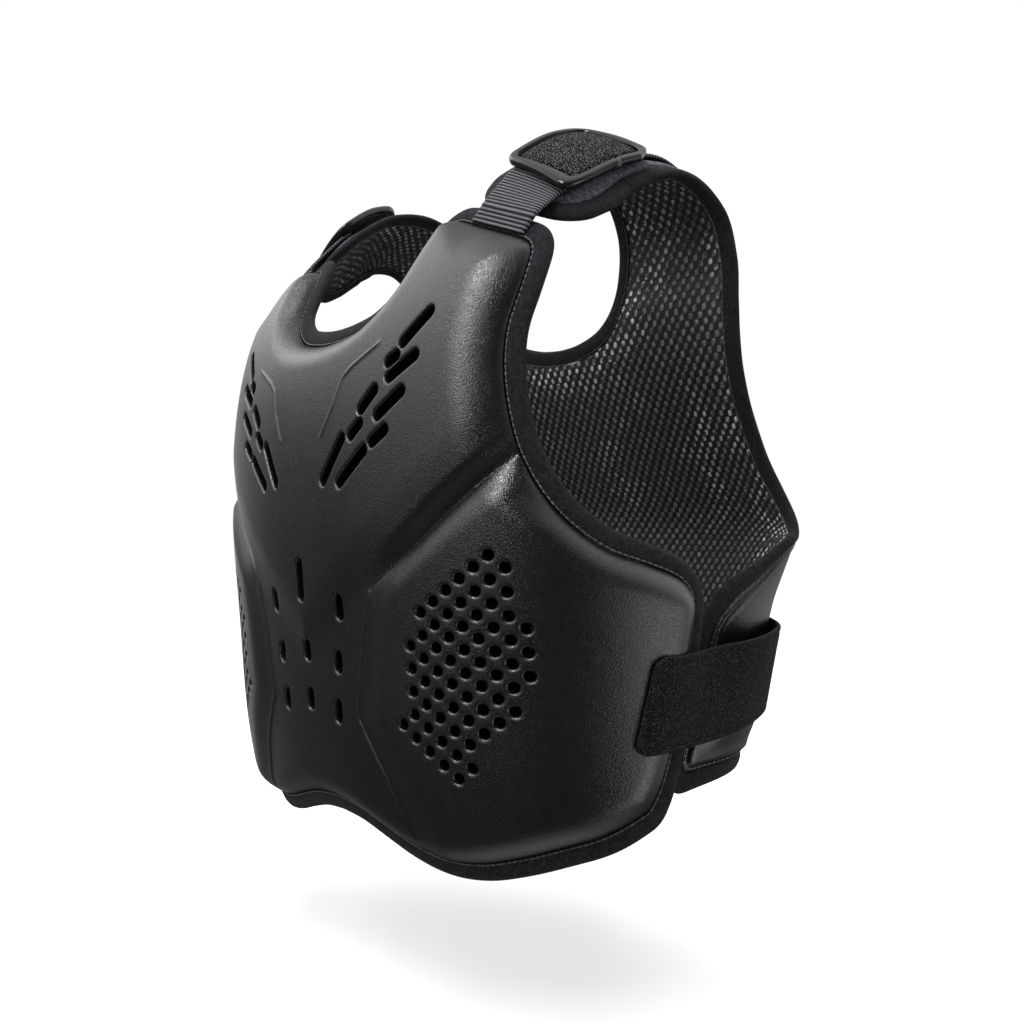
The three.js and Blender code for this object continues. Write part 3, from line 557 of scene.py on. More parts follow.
class Wire:
    """An output socket of a material's tree that takes part in Python arithmetic."""

    def __init__(self, tree, socket):
        self.tree = tree
        self.socket = socket

    def node(self, kind, settings=None, inputs=None, output=0):
        """Adds a node of any type: settings first, then values or wires on its inputs."""
        made = self.tree.nodes.new(kind)
        for name, value in (settings or {}).items():
            setattr(made, name, value)
        for key, value in (inputs or {}).items():
            socket = made.inputs[key]
            if isinstance(value, Wire):
                self.tree.links.new(value.socket, socket)
            else:
                socket.default_value = value
        return Wire(self.tree, made.outputs[output])

    def math(self, operation, *values):
        """A Math node on this wire and further values."""
        inputs = {k: value for k, value in enumerate((self, *values))}
        return self.node("ShaderNodeMath", {"operation": operation}, inputs)

    __add__ = __radd__ = operator("ADD")
    __sub__ = operator("SUBTRACT")
    __mul__ = operator("MULTIPLY")
    __truediv__ = operator("DIVIDE")
    __pow__ = operator("POWER")

    def __rsub__(self, other):
        """A plain number less this wire."""
        return self.node("ShaderNodeMath", {"operation": "SUBTRACT"}, {0: other, 1: self})

    def axes(self):
        """The first two coordinates of this vector."""
        split = self.node("ShaderNodeSeparateXYZ", None, {0: self}).socket.node
        return [Wire(self.tree, split.outputs[k]) for k in (0, 1)]

    def clamp(self):
        """This value held between 0 and 1."""
        return self.node("ShaderNodeClamp", None, {0: self})

    def step(self, low, high):
        """Smooth rise from 0 at low to 1 at high."""
        settings = {"interpolation_type": "SMOOTHSTEP"}
        return self.node("ShaderNodeMapRange", settings, {0: self, 1: low, 2: high})

    def blend(self, first, second):
        """Colour between two colours by this value; 6 and 7 are the Mix node's colour sockets."""
        return self.node("ShaderNodeMix", {"data_type": "RGBA"}, {0: self, 6: first, 7: second}, 2)

    def stretch(self, scale):
        """This vector scaled along its axes."""
        return self.node("ShaderNodeMapping", None, {"Vector": self, "Scale": scale})

    def noise(self, scale, detail=2.0, roughness=0.5):
        """Cloudy noise read at this vector."""
        inputs = {"Vector": self, "Scale": scale, "Detail": detail, "Roughness": roughness}
        return self.node("ShaderNodeTexNoise", None, inputs)

    def cells(self, scale, feature="F1", randomness=1.0):
        """Distance field of scattered cells read at this vector."""
        inputs = {"Vector": self, "Scale": scale, "Randomness": randomness}
        return self.node("ShaderNodeTexVoronoi", {"feature": feature}, inputs)


def new_material(name, **constants):
    """Material with a principled shader whose constants are set on its sockets; returns helpers."""
    material = bpy.data.materials.new(name)
    material.use_nodes = True
    tree = material.node_tree
    shader = tree.nodes["Principled BSDF"]
    for key, value in constants.items():
        shader.inputs[key.replace("_", " ")].default_value = value
    place = Wire(tree, tree.nodes.new("ShaderNodeTexCoord").outputs["Object"])
    cloth = Wire(tree, tree.nodes.new("ShaderNodeUVMap").outputs["UV"])
    cloth.socket.node.uv_map = "flat"
    return material, shader, place, cloth


def connect(shader, colour, roughness, height, depth, strength):
    """Links what varies over the surface: colour, roughness, and a height in units of depth."""
    bump = height.node("ShaderNodeBump", None, {"Height": height, "Distance": depth, "Strength": strength})
    for name, wire in (("Base Color", colour), ("Roughness", roughness), ("Normal", bump)):
        shader.id_data.links.new(wire.socket, shader.inputs[name])


# %% [markdown]
# ## Finishes
# Black on black only reads through its surface. The plate's skin is embossed leathercloth with a fine
# pebble grain, the tape is a felted knit, the lining an open net of shiny yarn over a dark foam with
# white highlights painted on its knots, the webbing is woven in ribs with painted light on their crowns
# and painted shade between them, the side straps are covered in soft loops, and the buckles are glossy.

# %% Leather finish
def leather_finish():
    """Fine pebbles (cell edges) and soft creases as bump, with a slightly patchy sheen."""
    material, shader, place, _ = new_material("leather", Specular_IOR_Level=0.5)
    pebbles = place.cells(900, "DISTANCE_TO_EDGE").step(0.0, 0.35)
    creases = place.noise(620, 3.0, 0.6)
    patches = place.noise(14, 2.0, 0.5)
    tone = (patches * 0.6 + creases * 0.4).step(0.3, 0.75)
    colour = tone.blend((0.002, 0.002, 0.0022, 1), (0.0045, 0.0046, 0.005, 1))
    roughness = patches * 0.08 + creases * 0.06 + 0.22
    connect(shader, colour, roughness, pebbles * 0.6 + creases, 0.0002, 0.6)
    return material


leather = leather_finish()


# %% Tape finish
MATT = {"Sheen_Weight": 0.02, "Specular_IOR_Level": 0.12}


def tape_finish(name, dark, pale):
    """Felted knit: fine noise and lint, matt, with a cool charcoal tone."""
    material, shader, place, _ = new_material(name, Sheen_Roughness=0.6, **MATT)
    fuzz = place.noise(1500, 3.0, 0.65)
    lint = place.noise(380, 2.0, 0.5)
    tone = (fuzz * 0.7 + lint * 0.3).step(0.35, 0.7)
    colour = tone.blend((dark, dark, dark * 1.2, 1), (pale, pale, pale * 1.2, 1))
    connect(shader, colour, fuzz * 0.1 + 0.82, fuzz + lint, 0.0004, 0.7)
    return material


tape_cloth = tape_finish("edge_tape", dark=0.003, pale=0.026)
cover_cloth = tape_finish("cover_cloth", dark=0.016, pale=0.18)


# %% Net lining finish
NET_PITCH = (3.9, 4.3)
NET_NECK_GLINTS = (262.0, 298.0)       # runs between which painted glints grow towards the neck
NET_NECK_GLINT_CURVE = 0.0055         # and how fast these rise with the square of the girth
NET_ARM_GLINTS = (128.0, 172.0)        # girths between which painted glints grow towards the arm
NET_ARM_GLINT_END = (250.0, 300.0)    # runs between which the painted arm glints fade out above the arm
NET_TONGUE = (315.0, 370.0)     # on the tongues the painted glints fade and the ropes are darker


def net_finish():
    """Staggered lattice of shiny yarn knots over dark gaps, from the cloth's own millimetres.
    Near the neck and arm openings and in random patches, white highlights are painted on the knots.
    """
    material, shader, place, cloth = new_material("mesh_lining", Specular_IOR_Level=0.6)
    sideways, run = cloth.axes()
    across, up = sideways / NET_PITCH[0], run / NET_PITCH[1]
    first = ((across + up) * math.pi).math("COSINE")
    second = ((across - up) * math.pi).math("COSINE")
    knots = first * 0.21 + second * 0.29 + 0.5
    yarn = place.noise(900, 2.0, 0.5)
    raised = (knots + yarn * 0.2).step(0.5, 0.95)
    # Painted highlight: the masks below place white glints painted on the knots along the neck and arm
    # openings and in random patches, where their roughness is also lowered.
    girth = sideways.math("ABSOLUTE")
    tongue = run.step(*NET_TONGUE)
    neck = (run - girth * girth * NET_NECK_GLINT_CURVE).step(*NET_NECK_GLINTS) * (1 - tongue * 0.85)
    arm = girth.step(*NET_ARM_GLINTS) * (1 - run.step(*NET_ARM_GLINT_END))
    glint_patches = place.noise(60, 2.0, 0.6).step(0.35, 0.6)
    glint_scatter = place.noise(260, 1.0, 0.5).step(0.38, 0.6) * 1.4
    painted_glint_mask = ((neck + arm) * glint_patches + place.noise(25, 2.0, 0.6).step(0.5, 0.75) * 0.4 + 0.1) * glint_scatter
    painted_glint = (knots + yarn * 0.3).step(0.73, 0.92) * painted_glint_mask.clamp()
    colour = raised.blend((0.0006, 0.0006, 0.0006, 1), (0.085, 0.085, 0.088, 1))
    colour = (raised * tongue * 0.7).blend(colour, (0.004, 0.004, 0.004, 1))
    # The painted highlight itself: glint knots take a white colour.
    colour = painted_glint.blend(colour, (1.0, 0.99, 0.97, 1))
    connect(shader, colour, 0.62 - painted_glint * 0.3, raised, 0.0012, 1.0)
    return material


net = net_finish()


# %% Webbing, loop and buckle finishes
RIB_PITCH = 2.6


def webbing_finish():
    """Woven rib: fine diagonal yarns from the cloth's millimetres, on ribs that are modelled.
    Their crowns are painted lighter as highlight and the valleys between them darker as shade.
    """
    material, shader, place, cloth = new_material("webbing", Specular_IOR_Level=0.12)
    yarn = cloth.stretch((1.0, 2.4, 1.0)).cells(1.25, "F1", 0.35)
    fuzz = place.noise(1600, 2.0, 0.6)
    _, along = cloth.axes()
    # Painted light and shade: pale on the modelled ribs' crowns, dark in the valleys between them.
    painted_crown_light = (along * (math.pi / RIB_PITCH)).math("SINE").math("ABSOLUTE")
    tone = (painted_crown_light * 0.9 - yarn * 0.5 + fuzz * 0.5).step(0.35, 1.05)
    colour = tone.blend((0.001, 0.001, 0.0012, 1), (0.17, 0.17, 0.185, 1))
    connect(shader, colour, fuzz * 0.15 + 0.6, tone, 0.0004, 0.8)
    return material


def loop_finish(name, scale, pale):
    """Soft loops: tight random cells with pale tips over a dark ground."""
    material, shader, place, _ = new_material(name, Sheen_Roughness=0.5, **MATT)
    loops = 1 - place.cells(scale, "F1", 1.0) * 1.6
    fuzz = place.noise(scale * 1.7, 2.0, 0.6)
    tips = (loops + fuzz * 0.5).step(0.62, 1.05)
    colour = tips.blend((0.004, 0.004, 0.005, 1), (pale, pale, pale * 1.06, 1))
    connect(shader, colour, 0.95 - tips * 0.2, loops + fuzz * 0.6, 0.0006, 0.9)
    return material


def buckle_finish():
    """Moulded plastic: near black, glossy, with faint flow lines in its roughness."""
    material, shader, place, _ = new_material("buckle", Specular_IOR_Level=0.32)
    flow = place.noise(120, 3.0, 0.6)
    colour = flow.blend((0.004, 0.004, 0.0045, 1), (0.011, 0.011, 0.012, 1))
    connect(shader, colour, flow * 0.1 + 0.07, flow, 0.0002, 0.5)
    return material


def thread_finish():
    """Waxed thread: charcoal twist with paler high points."""
    material, shader, place, _ = new_material("thread", Specular_IOR_Level=0.5)
    twist = place.noise(900, 2.0, 0.6)
    colour = twist.step(0.35, 0.75).blend((0.025, 0.025, 0.027, 1), (0.14, 0.14, 0.145, 1))
    connect(shader, colour, 0.6 - twist * 0.15, twist, 0.0002, 0.6)
    return material


webbing_cloth = webbing_finish()
loop_cloth = loop_finish("loop_fabric", scale=1100, pale=0.07)
hook_cloth = loop_finish("loop_pad", scale=1000, pale=0.28)
plastic = buckle_finish()
thread = thread_finish()
print("materials:", len(bpy.data.materials))

# %% [markdown]
# ## The chest plate
# The plate is one moulded foam piece with a skin. Its thickness over the pattern is a formula: a
# quarter circle rolls it down to the seam, the chest swells a little, the rib panels stand up behind
# a crisp inner crease and a wide bevel, and a deep groove parts them from the chest.

# %% Plate relief
SHELL = 12.0
EDGE = 2.0
CHEST_RISE = 2.5
CHEST_REACH = 40.0
RIB_RISE = 3.5
RIB_SLOPE = 0.77
ROUNDING = (17.0, 28.0)     # how far in the edge rounds off, and along the arm
ROUND_POWER = (2.2, 1.9)    # 1 would be a flat bevel, 2 an even curve
ARM_GIRTHS = (88.0, 112.0)  # the arm's bevel fades in between these girths
ARM_HEIGHTS = (-212.0, -182.0)
SEAM_ROLL = (0.12, 3.5)     # share of the height that rolls up right at the seam, and its width
VALLEY = 6.0
VALLEY_WIDTH = 13.0
BEVEL = 14.0
INNER_BEVEL = 26.0
VALLEY_FADE = (60.0, 108.0)
RIM = 16.0                  # width of the round that climbs from the groove to the rib
RIB_TOP = np.array([(175, -160), (139, -187), (97, -221), (67, -244)], float)
RIB_INNER = np.array([(67, -244), (58, -277), (51, -316), (69, -344), (85, -380)], float)
RIB_FIELD = np.concatenate([RIB_TOP, RIB_INNER[1:], [(90, -392), (400, -392), (400, -160)]])
CHEST_CREASE = np.array([(70, -112), (49, -122), (42, -127), (36, -141), (26, -157)], float)
CREASE_RISE = 0.7
CREASE_WIDTH = 1.3
LIP = 1.6


def smoothstep(value, low, high):
    """Smooth rise from 0 at low to 1 at high."""
    t = np.clip((value - low) / (high - low), 0, 1)
    return t * t * (3 - 2 * t)


def quarter_round(depth, reach):
    """Quarter circle from 0 at the edge to 1 at the reach."""
    return np.sqrt(1 - (1 - np.clip(depth / reach, 0, 1)) ** 2)


def rolled_edge(point, depth):
    """Share of the full height at a depth from the seam: a small roll, then a round, wider at the arm."""
    arm = smoothstep(point[:, 0], *ARM_GIRTHS) * smoothstep(point[:, 1], *ARM_HEIGHTS)
    reach = ROUNDING[0] + (ROUNDING[1] - ROUNDING[0]) * arm
    power = ROUND_POWER[0] + (ROUND_POWER[1] - ROUND_POWER[0]) * arm
    roll = SEAM_ROLL[0] * quarter_round(depth, SEAM_ROLL[1])
    return roll + (1 - SEAM_ROLL[0]) * (1 - (1 - np.clip(depth / reach, 0, 1)) ** power)


def plate_thickness(flat, vents=NO_VENTS):
    """Height of the plate's skin over the body form at flat points."""
    point = np.stack([np.abs(flat[:, 0]), flat[:, 1]], -1)
    edge = rolled_edge(point, to_lines(flat, pieces_of(front_seam[::2], True)))
    from_top = to_lines(point, pieces_of(RIB_TOP))
    from_inner = to_lines(point, pieces_of(RIB_INNER))
    on_rib = within(point, RIB_FIELD)
    rib = RIB_RISE * smoothstep(from_top, 0, BEVEL) * smoothstep(from_inner, 0, INNER_BEVEL)
    above = point[:, 1] - RIB_INNER[0, 1] - (point[:, 0] - RIB_INNER[0, 0]) * RIB_SLOPE
    chest = CHEST_RISE * smoothstep(above, 0, CHEST_REACH)
    deep = VALLEY * smoothstep(point[:, 0], *VALLEY_FADE)
    groove = deep * (1 - smoothstep(from_top, 0, VALLEY_WIDTH))
    rim = deep * (1 - quarter_round(from_top, RIM))
    from_crease = np.minimum(to_lines(point, pieces_of(CHEST_CREASE)), from_inner)
    crease = CREASE_RISE * (1 - smoothstep(from_crease, 0, CREASE_WIDTH))
    body = SHELL + np.where(on_rib, rib - rim, chest - groove) + crease
    lift = EDGE + (body - EDGE) * edge
    gap = np.maximum(vents.gap(flat), 0)
    return lift - LIP * (1 - quarter_round(gap, LIP))


# %% [markdown]
# The vents are long slots in the chest and belly and a diamond of round holes in each rib panel. The
# slots are listed by their two ends, and the holes come from a staggered lattice inside a field.

# %% Vents
CHEST_SLOT = 6.5
CHEST_SLOTS = [
    ((105, -99), (90.5, -112.5)), ((86, -119.5), (81.5, -122)), ((100, -120.5), (83.5, -130)),
    ((72, -136.5), (62.5, -145.5)), ((93, -138.5), (77, -149.5)), ((61.5, -153.5), (55, -159)),
    ((82.5, -158), (73.5, -163.5)), ((46, -161), (29.5, -183)), ((66.5, -168), (46, -184.5)),
]
BELLY_SLOT = 7.0
BELLY_SLOTS = [
    ((0, -231), (0, -249)), ((38.5, -250), (38.5, -258)), ((0, -279), (0, -285)),
    ((34, -283), (34, -289)), ((0, -308), (0, -314)), ((31, -311), (31, -318)),
]
HOLE = 5.5
HOLE_PITCH = (7.9, 6.1)
HOLE_ORIGIN = (130, -283)
HOLE_FIELD = np.array([
    (146, -216), (157, -228), (164, -265), (164, -288), (121, -349), (89, -312), (101, -252),
], float)

HOLE_ROWS, HOLE_COLUMNS = 14, 12    # of the lattice, each way from its origin


def vent_list():
    """Ends and widths of every slot and hole, both sides."""
    row, column = np.mgrid[-HOLE_ROWS:HOLE_ROWS + 1, -HOLE_COLUMNS:HOLE_COLUMNS + 1]
    staggered = np.stack([column, row], -1)[(row + column) % 2 == 0] * HOLE_PITCH + HOLE_ORIGIN
    holes = staggered[within(staggered, HOLE_FIELD)]
    ends = [(np.array(a, float), np.array(b, float)) for a, b in CHEST_SLOTS + BELLY_SLOTS]
    ends += [(hole, hole) for hole in holes]
    widths = [CHEST_SLOT] * len(CHEST_SLOTS) + [BELLY_SLOT] * len(BELLY_SLOTS) + [HOLE] * len(holes)
    off_centre = [k for k, (a, _) in enumerate(ends) if a[0] > 0]
    ends += [(ends[k][0] * (-1, 1), ends[k][1] * (-1, 1)) for k in off_centre]
    widths += [widths[k] for k in off_centre]
    print("holes each side:", len(holes), "vents in all:", len(ends))
    return Vents(ends, widths)


vents = vent_list()

# %% Chest plate
PLATE_SPACING = 2.4
INNER_SPACING = 7.0
SEAM_ROWS, VENT_ROWS = 3, 4    # rows of points on the walls
EDGE_DEPTHS = (0.3, 0.9, 1.8, 2.8, 4.2, 6.5, 9.0, 11.5, 14.0, 16.5, 19.0, 21.5, 24.0, 26.0, 28.0)
LIPS = (0.12, 0.45, 0.95, LIP, 2.6)
CREASE_STEP = 1.6
CREASE_OFFSETS = (-2.6, -1.3, -0.6, 0.0, 0.6, 1.3, 2.6)
RIM_OFFSETS = (-10.0, -7.0, -4.6, -2.8, -1.5, -0.7, -0.25, 0.0, 0.25, 0.7, 1.5, 2.8, 4.6, 7.0, 10.0)


def fold_lines(line, offsets=CREASE_OFFSETS):
    """Both mirror images of a line, walked at even steps, with the offsets that a crease needs."""
    length = lengths(line)
    at = np.linspace(0, length[-1], int(length[-1] / CREASE_STEP) + 1)
    walked = read_line(line, length, at)
    return [(walked, offsets), (walked * (-1, 1), offsets)]


def wall(loop, rows, turned):
    """Wall from the body form up to the plate's skin along a loop."""
    levels = np.linspace(0, 1, rows)[:, None] * plate_thickness(loop, vents)
    flat = np.stack([loop] * rows)
    faces = grid_faces(*levels.shape, False, True)
    return front.lifted(flat, levels), faces[:, ::-1] if turned else faces, flat


def chest_plate():
    """Skin, body side, rolled rim and vent walls of the plate, from one flat layout."""
    folds = fold_lines(CHEST_CREASE) + fold_lines(RIB_INNER) + fold_lines(RIB_TOP, RIM_OFFSETS)
    flat, faces = triangulate(front_seam, PLATE_SPACING, EDGE_DEPTHS, vents, LIPS, folds)
    inner, inner_faces = triangulate(front_seam, INNER_SPACING, (), vents)
    skin = (front.lifted(flat, plate_thickness(flat, vents)), faces, flat)
    body_side = (front.lifted(inner, 0.0), inner_faces[:, ::-1], inner)
    vent_walls = [wall(loop, VENT_ROWS, True) for loop in vents.outlines()]
    return [skin, body_side, wall(front_seam, SEAM_ROWS, False)] + vent_walls


plate = make_piece("chest_plate", chest_plate(), leather, ["front_shell"])

# %% [markdown]
# ## Linings and the back pad
# The body side of both panels is a spacer net a few millimetres thick. The back's outer side is a
# thin padded panel of the same leathercloth, sewn on a little inside the tape.

# %% Linings
GAP = 0.35
LINING = 3.0
FRONT_NET_SPACING, BACK_NET_SPACING = 4.0, 3.5


def lining(form, seam, top, spacing):
    """Thin sheet on the body side of a panel: two faces and the rim between them."""
    return panel(form, seam, triangulate(seam, spacing), top - LINING, top, top)


front_net = make_piece("front_net", lining(front, front_seam, -GAP, FRONT_NET_SPACING), net,
                       ["front_lining"])
back_net = make_piece("back_net", lining(back, back_seam, 0.0, BACK_NET_SPACING), net,
                      ["back_lining"])

# %% Back pad
BACK_PAD = 8.0
PAD_INSET = 3.0
PAD_ROLL = (3.0, 3.5)       # height and width of the rolled edge of the panel
PAD_SWELL = 26.0            # the foam reaches its full height this far in
PAD_TOP = 374.0
PAD_DEPTHS = (1.5, PAD_INSET, 3.15, 3.6, 4.3, 5.2, PAD_INSET + PAD_ROLL[1], 9.0)
PAD_SPACING = 4.0
CUT_SOFTNESS = 2.0


def cut_across(seam, top):
    """The part of a seam below a run, closed by straight lines across the two shoulders."""
    return smooth_loop(np.stack([seam[:, 0], np.minimum(seam[:, 1], top)], -1), CUT_SOFTNESS)


pad_seam = cut_across(back_seam, PAD_TOP)


def pad_thickness(flat):
    """Flat sewn border, a quarter round up to the panel's rolled edge, then a slow swell of foam."""
    depth = np.maximum(to_lines(flat, pieces_of(pad_seam[::2], True)) - PAD_INSET, 0)
    roll = PAD_ROLL[0] * quarter_round(depth, PAD_ROLL[1])
    return EDGE + roll + (BACK_PAD - EDGE - PAD_ROLL[0]) * smoothstep(depth, PAD_ROLL[1], PAD_SWELL)


def back_pad():
    """Outer face, inner face and rim of the padded back."""
    flat, faces = triangulate(pad_seam, PAD_SPACING, PAD_DEPTHS)
    return panel(back, pad_seam, (flat, faces), GAP, pad_thickness(flat), pad_thickness(pad_seam))


pad = make_piece("back_pad_cover", back_pad(), leather, ["back_pad"])

# %% [markdown]
# ## Edge tape and stitches
# The tape is folded over the edge and sewn through. It is one soft profile, flat on both sides and
# round outside, carried along the seam. The thread that holds it is a row of short twisted capsules.

# %% Edge tape
TAPE_PROFILE = np.array([
    (0.3, 1.9), (2.6, 2.6), (6.0, 2.5), (9.2, 1.7), (11.0, 0.2), (11.2, -1.4), (9.6, -2.9),
    (6.0, -3.5), (2.6, -3.6), (0.3, -3.4),
], float)
PROFILE_STEP, PROFILE_SOFTNESS = 0.25, 0.35
PROFILE_POINTS = 20


def tape_round(form, seam):
    """The tape's profile carried round a seam: each point steps outward and lifts off the form."""
    around = lengths(evenly(TAPE_PROFILE, PROFILE_STEP))[-1]
    soft = smooth_loop(TAPE_PROFILE, PROFILE_SOFTNESS, PROFILE_STEP)
    profile = evenly(soft, around / PROFILE_POINTS)
    flat = seam[:, None] - inward(seam)[:, None] * profile[None, :, :1]
    return tube(form.lifted(flat, np.broadcast_to(profile[None, :, 1], flat.shape[:2])), flat)


make_piece("front_tape", tape_round(front, front_seam), tape_cloth, ["front_binding"])
make_piece("back_tape", tape_round(back, back_seam), tape_cloth, ["back_binding"])


# %% Stitches
CAPSULE_ALONG = np.array([-1.0, -0.92, -0.6, 0.0, 0.6, 0.92, 1.0])
CAPSULE_RADIUS = np.array([0.02, 0.45, 0.85, 1.0, 0.85, 0.45, 0.02])
CAPSULE_SIDES = 6


def capsule():
    """Unit stitch along X: rings whose radius follows a half circle, with a point at each end."""
    turn = np.arange(CAPSULE_SIDES) * 2 * math.pi / CAPSULE_SIDES
    ring = np.stack([np.zeros(CAPSULE_SIDES), np.cos(turn), np.sin(turn)], -1)
    return CAPSULE_ALONG[:, None, None] * (1, 0, 0) + CAPSULE_RADIUS[:, None, None] * ring


def stitches(form, loop, pitch, length, radius, lift):
    """Capsules at even steps along a flat loop, each on the line to the next, at a lift."""
    at = evenly(loop, pitch)
    middle = form.lifted(at, lift)
    ahead = unit(np.roll(middle, -1, axis=0) - np.roll(middle, 1, axis=0))
    up = form.normal(at[:, 0], at[:, 1])
    side = np.cross(up, ahead)
    axes = np.stack([ahead * length / 2, side * radius, up * radius], 1)
    one = capsule()
    rows, columns = one.shape[:2]
    places = np.einsum("rck,nkx->nrcx", one, axes) + middle[:, None, None]
    faces = grid_faces(rows, columns, False, True)
    faces = (faces[None] + (np.arange(len(at)) * rows * columns)[:, None, None]).reshape(-1, 4)
    flat = np.broadcast_to(at[:, None, None], (*places.shape[:3], 2))
    return outward([(places, faces, flat)])


STITCH_ROWS = [
    # piece, form, seam, how far inside it the row runs, then pitch, length, radius and lift
    ("front_stitches", front, front_seam, -1.2, (3.4, 3.3, 0.55, 2.5)),
    ("back_stitches", back, back_seam, -1.0, (3.4, 3.4, 0.4, -3.6)),
    ("pad_stitches", back, pad_seam, 1.4, (4.0, 3.0, 0.5, EDGE + 0.3)),
]
for name, form, seam, inside, sizes in STITCH_ROWS:
    make_piece(name, stitches(form, seam + inward(seam) * inside, *sizes), thread)

# %% [markdown]
# ## Shoulder straps
# Each shoulder is a padded tongue of the back, a ribbed webbing from the plate, a ring buckle turned a
# little outward, the fuzzy end of the strap lying in it, and a short strap that holds the ring. They
# all lie on the back's form, so the same flat drawing places them.

# %% Shoulder covers
COVER = 4.5
COVER_DEPTHS = (0.5, 1.2, 2.2, 3.6, 5.5)
COVER_SPACING = 3.0
COVER_GAP = 2.0             # between the pad's top and the cover


def shoulder_cover():
    """Padded top of a shoulder tongue: the seam above the pad, rounded down at its edge."""
    tongue = back_seam[(back_seam[:, 1] > PAD_TOP + COVER_GAP) & (back_seam[:, 0] > 0)]
    loop = smooth_loop(tongue, CUT_SOFTNESS)
    flat, faces = triangulate(loop, COVER_SPACING, COVER_DEPTHS)
    depth = to_lines(flat, pieces_of(loop, True))
    top = EDGE + (COVER - EDGE) * quarter_round(depth, COVER_DEPTHS[-1])
    return panel(back, loop, (flat, faces), GAP, top, EDGE)


def make_pair(name, parts, material, node):
    """A piece of the wearer's left side and its mirror image."""
    sides = (("left", parts), ("right", mirrored(parts)))
    return [make_piece(f"{name}_{side}", made, material, [f"{node}_{side}"]) for side, made in sides]


covers = make_pair("shoulder_pad", shoulder_cover(), cover_cloth, "shoulder_cover")


# %% Webbing, keeper and loop pad
BUCKLE_HALF = (28.4, 27.8)
BUCKLE_CORNERS = np.array([
    # girth, run and height over the pattern: front row inside and outside, then the rear row
    [(92, 505.5, 11.4), (143.5, 520.5, 12.4)],
    [(101, 452.5, 15.0), (153, 436, 11.0)],
])


def on_strap(across, behind):
    """Girth, run and height in the buckle's own directions, by straight lines between its corners."""
    across, behind = np.broadcast_arrays(across, behind)
    u = (across[..., None] / BUCKLE_HALF[0] + 1) / 2
    v = (behind[..., None] / BUCKLE_HALF[1] + 1) / 2
    front_row = BUCKLE_CORNERS[0, 0] * (1 - u) + BUCKLE_CORNERS[0, 1] * u
    rear_row = BUCKLE_CORNERS[1, 0] * (1 - u) + BUCKLE_CORNERS[1, 1] * u
    return front_row * (1 - v) + rear_row * v


WEBBING_HALF = 23.0
WEBBING = 1.8
WEBBING_LIFT = 6.4
WEBBING_SHARE = 0.62                                    # where its middle lies on the tab's top edge
WEBBING_ON_TAB = ((1, 2.8), (7, 3.4), (12, 4.2))        # steps past that edge, and lifts
WEBBING_AT_BUCKLE = (-32.0, -26.5, -21.0)               # places behind the buckle's middle
WEBBING_COLUMNS, WEBBING_ROWS = 25, 141
WEBBING_ROUND = (0.02, 0.08)                            # start and width of its round edge, as shares
RIB_HEIGHT = 0.6


def spline(points, count):
    """Smooth line through points in space, by the length between them; gives even steps."""
    length = lengths(points)
    at = np.linspace(0, length[-1], count)
    return np.stack([track(length, column, at) for column in points.T], -1), at


def ribbed_webbing():
    """Band from the plate's tab to the buckle: lines across it are laid through six stations."""
    inner, outer = FRONT_IN[-1], FRONT_OUT[-1]
    across = unit(outer - inner)
    out = np.array([-across[1], across[0]])
    middle = inner + (outer - inner) * WEBBING_SHARE
    shares = np.linspace(-1, 1, WEBBING_COLUMNS)
    on_tab = middle + across * (shares[:, None] * WEBBING_HALF)
    lines = [front.lifted(on_tab + out * step, lift) for step, lift in WEBBING_ON_TAB]
    for behind in WEBBING_AT_BUCKLE:
        lines.append(back.lifted(on_strap(shares * WEBBING_HALF, behind)[..., :2], WEBBING_LIFT))
    walked = [spline(column, WEBBING_ROWS) for column in np.stack(lines, 1)]
    lower = np.stack([line for line, _ in walked], 1)
    along = np.stack([at for _, at in walked], 1)
    normal = unit(np.cross(np.gradient(lower, axis=0), np.gradient(lower, axis=1)))
    normal *= np.sign(normal[..., 2:].mean())
    least, width = WEBBING_ROUND
    rise = WEBBING * quarter_round(1 - np.abs(shares) + least, width)[None, :]
    ribs = RIB_HEIGHT * (np.abs(np.sin(along * math.pi / RIB_PITCH)) - 0.5)
    upper = lower + normal * (rise + ribs)[..., None]
    uv = np.stack([np.broadcast_to(shares * WEBBING_HALF, along.shape), along], -1)
    return slab(lower, upper, uv)


BAND_ROUND = (0.3, 2.2)     # start and width of a band's round edge
BAND_EDGE = 0.4             # its thickness at the very edge


def soft_band(flat, lift, thickness, half, length):
    """Band on the back's form over a grid of flat places, its rim rounded down by a quarter circle."""
    start, width = BAND_ROUND
    stations = np.linspace(0, length, flat.shape[0])
    ends = np.minimum(stations, length - stations)
    sides = half * (1 - np.abs(np.linspace(-1, 1, flat.shape[1])))
    rise = quarter_round(sides + start, width)[None, :] * quarter_round(ends + start, width)[:, None]
    upper = lift + BAND_EDGE + (thickness - BAND_EDGE) * rise
    return slab(back.lifted(flat, lift), back.lifted(flat, upper), flat)


PAD_HALF = (24.6, 24.2)
PAD_DROP = -2.6
PAD = 3.8
PAD_POINTS = 33
KEEPER_HALF = 20.0
KEEPER_START = 26.0
KEEPER_END = np.array([(101, 394), (141, 390)], float)
KEEPER_LENGTH = 50.0        # sets how far its ends round off
KEEPER_ROWS, KEEPER_COLUMNS = 50, 25


def strap_end():
    """Fuzzy strap end inside the buckle, level with its bars."""
    shares = np.linspace(-1, 1, PAD_POINTS)
    grid = on_strap(shares[None, :] * PAD_HALF[0], shares[:, None] * PAD_HALF[1])
    return soft_band(grid[..., :2], grid[..., 2] + PAD_DROP, PAD, PAD_HALF[0], 2 * PAD_HALF[1])


